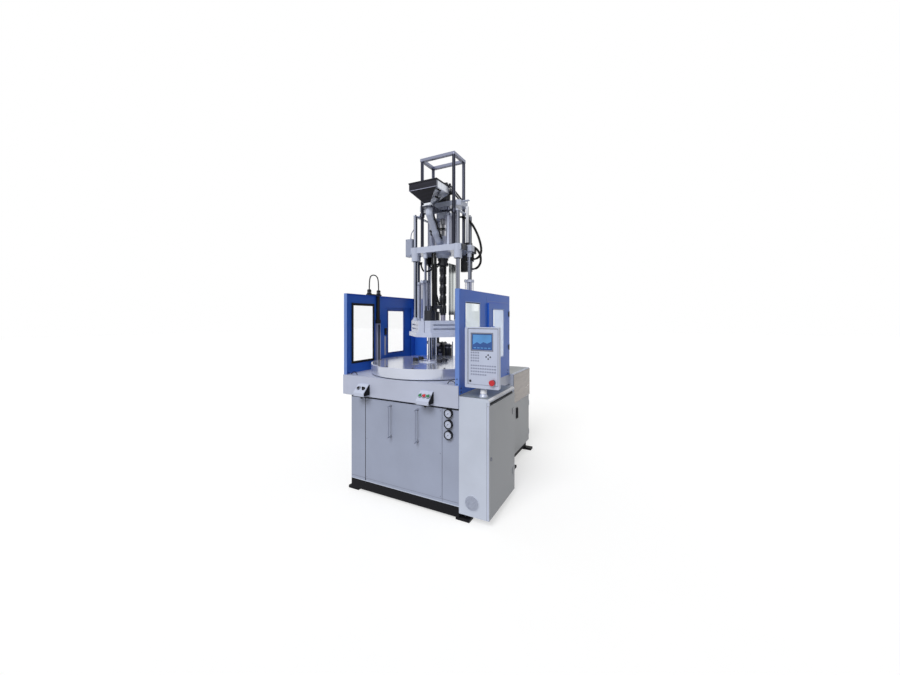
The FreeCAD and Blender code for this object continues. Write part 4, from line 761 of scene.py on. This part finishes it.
def dress_columns():
    foot, top = extent("guide_columns")[4:]
    ties = Piece("column_tie_plates", "light", "clamp", 2)
    heads = Piece("column_tie_screws", "black_steel", "clamp")
    flanges = Piece("column_foot_flanges", "light", "clamp")
    for x in (column_places()[0][0], column_places()[-1][0]):
        ties.box(x - 12, x + 12, 655, 990, top, top + 16)
    flange = [(34, 0), (34, 14), (31, 17), (24, 17), (24, 30), (20.4, 32), (20.4, 0)]
    for x, y in column_places():
        heads.bolt((x, y, top + 16), UP, 10, 8)
        flanges.turned((x, y, foot), UP, flange, 40, True)


def dress_cylinder_row(node, body, places, cap, rod):
    """Screws, tie rods and glands of a row of cylinders with square caps."""
    z0, z1 = extent(node)[4:]
    screws = Piece(node + "_screws", "black_steel", body)
    glands = Piece(node + "_glands", "black_steel", body)
    rods = Piece(node + "_tie_rods", "silver", body)
    gland = [(rod + 0.4, 0), (rod + 6, 0), (rod + 6, 5), (rod + 4, 7), (rod + 0.4, 7)]
    for x, y in places:
        for at in corners(x, y, cap / 2 - 8, cap / 2 - 8):
            screws.bolt((*at, z1), UP, 4.5, 4.5)
            rods.bar((*at, z0 + 21), (*at, z1 - 25), 3.6, 10)
        glands.turned((x, y, z1), UP, gland, 32, True)


def dress_cylinders():
    pistons = corners(0, TOWER_Y, PISTON_X, PISTON_Y)
    dress_cylinder_row("carriage_cylinders", "clamp", LIFTS, 76, 14)
    dress_cylinder_row("injection_cylinders", "carriage", pistons, 60, 12.5)
    ends = Piece("lift_rod_ends", "light", "carriage")
    bottom = z_top("carriage_plate") - PLATE_T
    for x, y in LIFTS:
        ends.turned((x, y, bottom - 58), UP,
                    [(14.3, 0), (22, 2), (22, 44), (27, 48), (27, 57.6), (14.3, 57.6)], 32, True)


def dress_barrel():
    z0 = extent("barrel")[4]
    y = middle("barrel")[1]
    bands = Piece("heater_bands", "heater", "carriage")
    boxes = Piece("heater_terminals", "black_steel", "carriage", 2)
    band = [(31.2, 0), (36, 0.5), (37, 3), (37, 81), (36, 83.5), (31.2, 84)]
    for i in range(5):
        low = z0 + 18 + i * 104
        bands.turned((0, y, low), UP, band, 40, True)
        boxes.box(-14, 14, y - 58, y - 36, low + 24, low + 60)
    tray = Piece("heater_cable_tray", "black_steel", "carriage", 1).box(-152, -94, 864, 868, 1668, 2188)
    tray.box(-152, -148, 846, 864, 1668, 2188)
    tray.box(-98, -94, 846, 864, 1668, 2188)
    tray.box(-140, -106, 868, 876, 1900, z_top("carriage_plate") - PLATE_T)
    Piece("heater_cable_box", "black_steel", "carriage", 3).box(-64, 4, 768, 796, 1695, 1734)


def dress_carriage():
    x1, low, top = extent("carriage_plate")[1], *extent("carriage_plate")[4:]
    screws = Piece("carriage_screws", "black_steel", "carriage")
    seals = Piece("boss_wipers", "rubber", "carriage")
    covers = Piece("carriage_side_covers", "black_steel", "carriage", 1)
    boss_shade = Piece("rear_boss_painted_shade", "black", "carriage")
    for x, y in column_places():
        for at in circle(4, 33, x, y, 45):
            screws.bolt((*at, top), UP, 4.5, 4)
        for z, way in ((low, DOWN), (top, UP)):
            seals.turned((x, y, z), way, [(20.5, 0), (27, 0), (27, 4), (25, 6), (20.5, 6)], 36, True)
    for y0, y1 in ((668, 780), (876, 1005)):
        covers.box(x1 - 44, x1 - 38, y0, y1, top - PLATE_T, top - 6)
    # painted shade: a thin black shell over the rear bosses
    for x, y in column_places()[1::2]:
        boss_shade.turned((x, y, low + 3), UP, [(41.6, 0), (43.5, 0), (43.5, 83), (41.6, 83)], 40, True)


def dress_throat():
    """Cooling jacket below the carriage plate, and its two pipes."""
    y = middle("barrel")[1]
    low, top = extent("carriage_plate")[4:]
    z = top - 192  # its top meets the neck below the plate
    port = z + 18
    jacket = Piece("throat_cooling_jacket", "black_steel", "carriage").turned(
        (0, y, z), UP, [(37.6, 0), (54, 0), (58, 4), (58, 32), (50, 36), (50, 56), (58, 60), (58, 78),
                        (37.6, 78)], 40, True)
    angle = radians(35)
    starts, ends = [corners(0, y, reach * cos(angle), reach * sin(angle)) for reach in (57, 86)]
    for start, end in zip(starts, ends):
        jacket.bar((*start, port), (*end, port), 9, 12)
    nut = [(9, 0), (14, 2), (14, 18), (17, 20), (17, 30)]
    pipes = Piece("throat_cooling_pipes", "black", "carriage")
    for route in ([(-69, y - 48, port), (-90, y - 63, port), (-100, 758, 2108), (-194, 742, 2092),
                   (-222, 738, 2170), (-222, 738, low)],
                  [(-69, y + 48, port), (-92, y + 64, port), (-170, 900, 2138), (-215, 900, 2180),
                   (-215, 900, low)]):
        pipes.pipe(route, 9, 40)
        pipes.turned((*route[-1][:2], low - 30), UP, nut, 6)


def dress_junction_box():
    x0, x1, y0, _, z0, z1 = extent("junction_box")
    Piece("junction_box_lid", "housing", "carriage", 1).box(x0 + 5, x1 - 6, y0 - 2, y0, z0 + 5, z1 - 5)
    screws = Piece("junction_box_screws", "black_steel", "carriage")
    for x in (x0 + 12, x1 - 13):
        for z in (z0 + 12, z1 - 12):
            screws.bolt((x, y0 - 2, z), FRONT, 3.5, 1.5)
    start, end = Vector(((x0 + x1) / 2, y0 + 40, z1)), Vector((-344, 800, 2655))
    lift = Vector((0, 0, 130))
    path = []
    for i in range(13):
        t = i / 12
        path.append(start * (1 - t) ** 3 + (start + lift) * 3 * t * (1 - t) ** 2
                    + (end - lift) * 3 * t * t * (1 - t) + end * t ** 3)
    conduit = Piece("junction_box_conduit", "key", "carriage").bars(path, 5, 12)
    conduit.turned(start, UP, [(9, 0), (9, 8), (7, 10), (7, 18)], 6)


def dress_transducer():
    """Stroke transducer at the right of the drive plate, and the guide rod at its left."""
    x, y, rod_z = 288, TOWER_Y, 2754
    side, top = extent("drive_plate")[1], z_top("drive_plate")
    tube = [(14, 0), (16, 3), (16, 372), (12, 376), (5.5, 376), (5.5, 290)]
    Piece("stroke_transducer_tube", "white", "carriage").turned((x, y, 2376), UP, tube, 28)
    foot = [(20, 0), (20, 6), (17, 8), (17, 31.8)]
    Piece("stroke_transducer_foot", "plastic", "carriage").turned((x, y, 2345), UP, foot, 28)
    Piece("stroke_transducer_arm", "light", "injection", 1).box(
        side - 26, x + 20, y - 18, y + 18, top, top + 8)
    Piece("stroke_transducer_rod", "chrome", "injection").turned(
        (x, y, rod_z), UP, [(4, 0), (4, top - rod_z + 0.2)], 16)
    gx, gy, gz = -332, 800, 2711
    deck = z_top("carriage_plate")
    rise = gz - deck
    Piece("left_guide_rod", "chrome", "carriage").turned(
        (gx, gy, deck), UP, [(16, 0), (16, 10), (12, 12), (12, rise - 2), (10, rise)], 28)
    px, py = -190, 713.5
    along = Vector((px - gx, py - gy, 0)).normalized()
    across = Vector((-along.y, along.x, 0)) * 15
    a, b = Vector((gx, gy, gz - 22)) - along * 14, Vector((px, py, gz - 22)) - along * 17.6
    Piece("left_guide_bracket", "light", "carriage", 1.5).plate(
        [a + across, a - across, b - across, b + across], UP, 16)


def dress_drive():
    z0, z1 = extent("drive_plate")[4:]
    y = middle("drive_plate")[1]
    mx1, (mz0, mz1) = extent("hydraulic_motor")[1], extent("hydraulic_motor")[4:]
    nuts = Piece("drive_plate_nuts", "black_steel", "injection")
    for at in corners(0, y, 62, 62):
        nuts.bolt((*at, z1 + 24), UP, 7, 7)
    for at in corners(0, y, PISTON_X, PISTON_Y):
        nuts.turned((*at, z1), UP, [(19, 0), (19, 14), (16, 17), (8, 17)], 6)
    ribs = Piece("motor_ribs", "black_steel", "injection")
    fittings = Piece("motor_fittings", "steel", "injection")
    pipes = Piece("motor_pipes", "black_steel", "injection")
    for i in range(5):
        ribs.turned((0, y, mz0 + 40 + i * 20), UP, [(75.2, 0), (80, 1), (80, 8), (75.2, 9)], 48, True)
    for dy in (-26, 26):
        fittings.turned((mx1, y + dy, z1 + 120), RIGHT,
                        [(15, 0), (15, 10), (11, 12), (11, 22), (9, 24)], 6)
    for start, end in (((40, y + 7, mz1 + 2), (200, y + 27, z1 + 12)),
                       ((52, y + 57, mz1 + 6), (212, y + 77, z1 + 16))):
        pipes.bar(start, end, 9, 20)
        pipes.turned(end, DOWN, [(15, -12), (15, 10), (12, 12), (12, end[2] - z1)], 6)
        pipes.turned(start, DOWN, [(14, -12), (14, 8), (11, 10), (11, 30)], 6)
    Piece("thrust_housing_seal", "rubber", "injection").ring((0, y, z0 - 102), DOWN, 32, 52, 9)


def dress_hopper():
    x0, x1, y0, y1, z0, z1 = extent("hopper")
    throat, mid = HOPPER_THROAT, (y0 + y1) / 2
    low, high = z0 + HOPPER_FOOT, z1 - HOPPER_RIM  # ends of the sloping sides
    # painted shade: the rim has the dark finish of the shaded faces
    rim = Piece("hopper_rim", "dark_lens_and_painted_shade", "carriage", 1.5)
    for ax, bx, ay, by in ((x0 - 5, x1 + 5, y0 - 5, y0), (x0 - 5, x1 + 5, y1, y1 + 5),
                           (x0 - 5, x0, y0, y1), (x1, x1 + 5, y0, y1)):
        rim.box(ax, bx, ay, by, z1 - 14, z1)
    # the front slope, the front wall and the left slope lie in shade, painted on as plates of the dark
    # finish
    shaded = Piece("hopper_front_painted_shade", "dark_lens_and_painted_shade", "carriage")
    shaded.plate(
        [(1 - throat, mid - throat, low + 1), (throat - 1, mid - throat, low + 1), (x1 - 2, y0, high),
         (x0 + 2, y0, high)], (0, -1, -1), 1)
    shaded.plate([(x0, y0, high), (x1, y0, high), (x1, y0, z1 - 14), (x0, y0, z1 - 14)], FRONT, 1)
    shaded.plate(
        [(x0 + 1, y0 + 2, high), (x0 + 1, y1 - 2, high), (-throat, mid + throat - 1, low + 1),
         (-throat, mid - throat + 1, low + 1)], (-1, 0, -1), 1)
    Piece("hopper_front_fold", "silver", "carriage").box(
        x0 - 1, x1 + 1, y0 - 3, y0 - 1, high - 2, high + 3)
    slots = Piece("hopper_sight_slot", "black", "carriage")
    for bottom, top, near, far in ((0.4, 0.5, -40, 34), (0.84, 0.93, -96, -20)):
        outline = [(throat + (x1 - throat) * share + 0.6, mid + dy, low + (high - low) * share)
                   for share, dy in ((top, near), (top, far), (bottom, far), (bottom, near))]
        slots.plate(outline, (1, 0, -1), 1.6)
    screws = Piece("hopper_foot_screws", "steel", "carriage")
    for at in corners(0, mid, 44, 44):
        screws.bolt((*at, z0 + 8), UP, 5, 5)


def dress_feed_pipe():
    top, toe = Vector((0, 545, 2640)), Vector((0, 733, 2405))
    way = (toe - top).normalized()
    at = top + way * 203
    Piece("feed_clip", "black_steel", "carriage", 2).box(
        -50, -34, at.y - 26, at.y + 6, at.z - 20, at.z + 12)
    knobs = Piece("feed_clip_screws", "plastic", "carriage")
    for y, z in ((at.y - 24, at.z + 14), (at.y - 4, at.z - 22)):
        knobs.turned((-42, y, z), FRONT, [(7, 0), (7, 6), (10, 9), (10, 16), (6, 19)], 24)
    beside = Vector((47, 0, 0))
    conduit = Piece("feed_pipe_conduit", "plastic", "carriage").bar(
        top + way * 20 + beside, top + way * 280 + beside, 8, 16)
    for along in (60, 160, 250):
        conduit.bar(top + way * along + beside, top + way * along + beside * 0.7, 10, 12)


# ---------------- power unit

def dress_power_unit():
    x0, _, y0, _, _, z1 = extent("power_unit_housing")
    x1, y1 = extent("power_unit_door")[1], y0 + UNIT_DEEP
    # painted reflection: a warm, mottled plate on the upper side
    Piece("power_unit_upper_side", "painted_warm_reflection").box(x1, x1 + 0.8, y0 + 4, y1 - 4, 668, z1 - 10)
    Piece("power_unit_seam", "panel").box(x1, x1 + 1.4, y0 + 2, y1 - 2, 664.5, 667.5)
    Piece("power_unit_top_rim", "panel").box(x1 - 26, x1 - 10, y0 + 9, y1 - 9, z1, z1 + 1)
    Piece("power_unit_top", "lid").box(x0 + 10, x1 - 28, y0 + 10, y1 - 10, z1, z1 + 0.8)
    vents = Piece("power_unit_vents", "black", edge=1)
    for z in range(740, 901, 20):
        vents.box(x0 - 3, x0, 1400, 1660, z, z + 8)
        vents.box(-140, 140, y1, y1 + 3, z, z + 8)
    hy0, hy1, hz0, hz1 = extent("power_unit_handle")[2:]
    Piece("power_unit_latch_plate", "black", "unit_door").box(
        x1, x1 + 0.4, hy0 - 20, hy1 + 12, hz0 - 6, hz1 + 8)
    cap = [(38, 0), (38, 10), (34, 14), (34, 40), (30, 46), (8, 48)]
    Piece("oil_filler_cap", "black_steel").turned((40, y1 - 160, z1 + 0.5), UP, cap, 40)


def dress_valve_stack():
    """Solenoid caps, end plugs and pipes of the stack on the power unit's roof."""
    roof = z_top("power_unit_housing")
    top = roof + STACK_UP
    y0, y1 = STACK_Y0 + STACK_INSET, STACK_Y0 + STACK_DEEP - STACK_INSET
    mid = (y0 + y1) / 2
    caps = Piece("solenoid_caps", "steel")
    plugs = Piece("valve_plugs", "steel")
    plates = Piece("valve_section_plates", "silver", edge=0.6)
    for i, up in enumerate(SECTION_UP):
        x = STACK_X0 + SECTION_INSET + i * SECTION_PITCH
        for y, way in ((y0 - 46, -1), (y1 + 46, 1)):
            caps.turned((x, y, top + up - 30), (0, way, 0),
                        [(20, 0), (20, 4), (9, 6), (9, 14), (6, 16)], 24)
        plugs.turned((x, y0, top + up / 2 - 10), FRONT, [(15, 0), (15, 8), (11, 9), (11, 14)], 6)
        plates.box(x - 24, x + 24, y0 - 1.4, y0, top + 24, top + 44)
        for at in corners(x, mid, 22, (y1 - y0) / 2 - 14):
            plugs.bolt((*at, top + up), UP, 6, 6)
    x = STACK_X0 + len(SECTION_UP) * SECTION_PITCH + 45
    band = Piece("filter_band", "steel").turned(
        (x, mid, top + 110), UP, [(44, 0), (46.5, 0), (46.5, 16), (44, 16)], 40, True)
    band.turned((x, mid, top + 149.8), UP, [(30, 0), (30, 10), (24, 14), (10, 14)], 6)
    pilots = Piece("pilot_valves", "black_steel")
    for i, rise in enumerate((62, 92)):
        pilots.turned((STACK_X0 + SECTION_INSET + i * SECTION_PITCH, mid, top + SECTION_UP[i]), UP,
                      [(27, 0), (27, rise - 20), (20, rise - 16), (20, rise - 4), (16, rise)], 32)
    Piece("drain_pipe", "light").bar((x + 60, y0 + 50, roof), (x + 60, y0 + 50, top + 190), 7, 20)


# ---------------- cords

LOOP_R, LEAD_R, HOSE_R = 6, 11, 9
WRAP_GAP, WRAP_T = 0.4, 3.4  # clearance on the hose, and thickness of its wrap
WRAP_W, WRAP_PITCH, WRAP_STEPS = 11, 15, 14
WRAP_BARE = 55  # hose left bare at each end
CURTAIN_LOOP = [(-590, 331, 1894), (-590, 331, 2006), (-590, 372, 2047), (-590, 437, 2047),
                (-590, 478, 2006), (-590, 478, 1894)]
HEATER_LEADS = [[(x, 720, 2283), (x, 720, 2110), (x - 6, 732, 1960), (x, 750, 1830),
                 (x + 20, 782, 1735)] for x in (-66, -38)]
UPPER_HOSE = [(135, 898, 2677), (226, 898, 2677), (292, 930, 2602), (330, 988, 2500),
              (350, 1032, 2398), (354, 1046, 2318), (332, 1048, 2269.5), (294.5, 1048, 2241.5),
              (240, 1048, 2241.5)]
LOWER_HOSE = [(135, 898, 2356), (220, 898, 2356), (290, 926, 2362), (332, 972, 2334),
              (356, 1012, 2276), (358, 1022, 2206), (336, 1022, 2157.5), (294.5, 1022, 2129.5),
              (240, 1022, 2129.5)]


def nurbs_cord(name, points, radius, body):
    curve = bpy.data.curves.new(name, "CURVE")
    curve.dimensions = "3D"
    curve.bevel_depth = 1  # each point's radius scales it to the cord's own
    curve.bevel_resolution = 6
    curve.resolution_u = 14
    spline = curve.splines.new("NURBS")
    spline.points.add(len(points) - 1)
    for target, point in zip(spline.points, points):
        target.co = (*place(*point), 1)
        target.radius = radius * MM
    spline.order_u = 3
    spline.use_endpoint_u = True
    return add_object(name, curve, "rubber", body)


def cord_line(obj):
    """Points along a cord's own spline, in metres."""
    depth = obj.data.bevel_depth
    obj.data.bevel_depth = 0
    mesh = bpy.data.meshes.new_from_object(obj)
    obj.data.bevel_depth = depth
    points = [vertex.co.copy() for vertex in mesh.vertices]
    bpy.data.meshes.remove(mesh)
    return points


def spiral_wrap(name, cord_obj, body):
    """Protective plastic strip wound round a hose, clear of its fittings."""
    points = cord_line(cord_obj)
    reach = [0]
    for a, b in zip(points, points[1:]):
        reach.append(reach[-1] + (b - a).length)
    inner = (HOSE_R + WRAP_GAP) * MM
    outer = inner + WRAP_T * MM
    bare, step = WRAP_BARE * MM, WRAP_PITCH * MM / WRAP_STEPS
    side = Vector(UP)
    rings = []
    index = 0
    for k in range(int((reach[-1] - 2 * bare) / step) + 1):
        at = bare + k * step
        while reach[index + 1] < at:
            index += 1
        along = (points[index + 1] - points[index]).normalized()
        centre = points[index] + along * (at - reach[index])
        side = (side - along * side.dot(along)).normalized()
        out = Matrix.Rotation(2 * pi * k / WRAP_STEPS, 3, along) @ side
        half = along * WRAP_W * MM / 2
        rings.append((centre + out * inner - half, centre + out * outer - half,
                      centre + out * outer + half, centre + out * inner + half))
    return Piece(name, "rubber", body).skin(rings).obj


def tie_cord(obj):
    line = cord_line(obj)


def lay_cords():
    loop = nurbs_cord("curtain_loop", CURTAIN_LOOP, LOOP_R, "machine")
    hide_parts("curtain_cable")
    tie_cord(loop)
    leads = []
    for i, points in enumerate(HEATER_LEADS):
        leads.append(nurbs_cord("heater_lead_%d" % i, points, LEAD_R, "carriage"))
        tie_cord(leads[-1])
    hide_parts("heater_cables")
    hoses = []
    for name, points in (("upper_hose", UPPER_HOSE), ("lower_hose", LOWER_HOSE)):
        hoses.append(nurbs_cord(name, points, HOSE_R, "carriage"))
        wrap = spiral_wrap(name + "_wrap", hoses[-1], "carriage")
        tie_cord(hoses[-1])
    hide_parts("hydraulic_hoses")
    fittings = Piece("hose_fittings", "steel", "carriage")
    for end in (UPPER_HOSE[0], UPPER_HOSE[-1], LOWER_HOSE[0], LOWER_HOSE[-1]):
        fittings.turned(end, RIGHT, [(15, 0), (15, 12), (12, 14), (12, 40), (10, 42)], 6)


# ---------------- light and camera

EYE = (1887.1, -2523.4, 1600)  # machine millimetres
EYE_TURN = radians(28.2706)
PHOTO_WIDTH, PHOTO_HEIGHT = 900, 675
FOCAL_PIXELS = 358.64
HORIZON_ROW = 317.885
FILM = 36
FLOOR_REACH, FLOOR_DROP = 40, 0.001  # metres


def set_camera():
    data = bpy.data.cameras.new("camera")
    data.sensor_width = FILM
    data.sensor_fit = "HORIZONTAL"
    data.lens = FILM * FOCAL_PIXELS / PHOTO_WIDTH
    data.shift_y = -(PHOTO_HEIGHT / 2 - HORIZON_ROW) / PHOTO_WIDTH
    data.clip_end = 200
    camera = new_object("camera", data)
    camera.location = place(*EYE)
    camera.rotation_euler = (radians(90), 0, EYE_TURN)
    bpy.context.scene.camera = camera


def seen_ray(tree):
    """1 for rays from the camera and for mirrored or refracted ones, 0 for the rest."""
    rays = add_node(tree, "LightPath").outputs
    seen = rays["Is Camera Ray"]
    for kind in ("Is Glossy Ray", "Is Transmission Ray"):
        larger = add_node(tree, "Math", seen, rays[kind], modes={"operation": "MAXIMUM"})
        seen = larger.outputs["Value"]
    return seen


def set_light():
    """Even room light, a soft key from the front, and white seen, mirrored or let through."""
    world = bpy.data.worlds.new("studio")
    bpy.context.scene.world = world
    world.use_nodes = True
    tree = world.node_tree
    room = tree.nodes["Background"]
    settle(room, Color=(1, 0.99, 0.95, 1), Strength=0.4)
    white = add_node(tree, "Background", Color=(1, 1, 1, 1), Strength=1)
    mix = add_node(tree, "MixShader", seen_ray(tree), room.outputs["Background"],
                   white.outputs["Background"])
    settle(tree.nodes["World Output"], Surface=mix.outputs["Shader"])
    key = bpy.data.lights.new("key", "SUN")
    key.energy = 2.35
    key.angle = radians(30)
    key.color = (0.97, 0.98, 1)
    light = new_object("key", key)
    light.rotation_euler = Vector((0, -0.73, 0.68)).to_track_quat("Z", "Y").to_euler()


def set_floor():
    """Pale floor that shines a little where it is seen, so that it meets the backdrop."""
    mesh = bpy.data.meshes.new("floor")
    r = FLOOR_REACH
    mesh.from_pydata([(-r, -r, 0), (r, -r, 0), (r, r, 0), (-r, r, 0)], [], [(0, 1, 2, 3)])
    floor = new_object("floor", mesh)
    pale = finish("pale_floor", (0.48, 0.48, 0.48), 0.7, grain=40, variation=0.01, specular=0.1)
    shader = pale.node_tree.nodes["Principled BSDF"]
    settle(shader, Emission_Strength=0.57, Emission_Color=seen_ray(pale.node_tree))
    mesh.materials.append(pale)
    floor.location.z = -FLOOR_DROP


bpy.context.scene.view_settings.view_transform = "Standard"
for job in (paint_nodes, dress_base, dress_bed, dress_table, dress_gauges, dress_operator_panel,
            dress_button_boxes, dress_cabinet, dress_guards, dress_light_curtain, dress_columns,
            dress_cylinders, dress_barrel, dress_carriage, dress_throat, dress_junction_box,
            dress_transducer, dress_drive, dress_hopper, dress_feed_pipe, dress_power_unit,
            dress_valve_stack, lay_cords, set_floor, set_light, set_camera):
    job()
for piece in pieces:
    piece.fill()
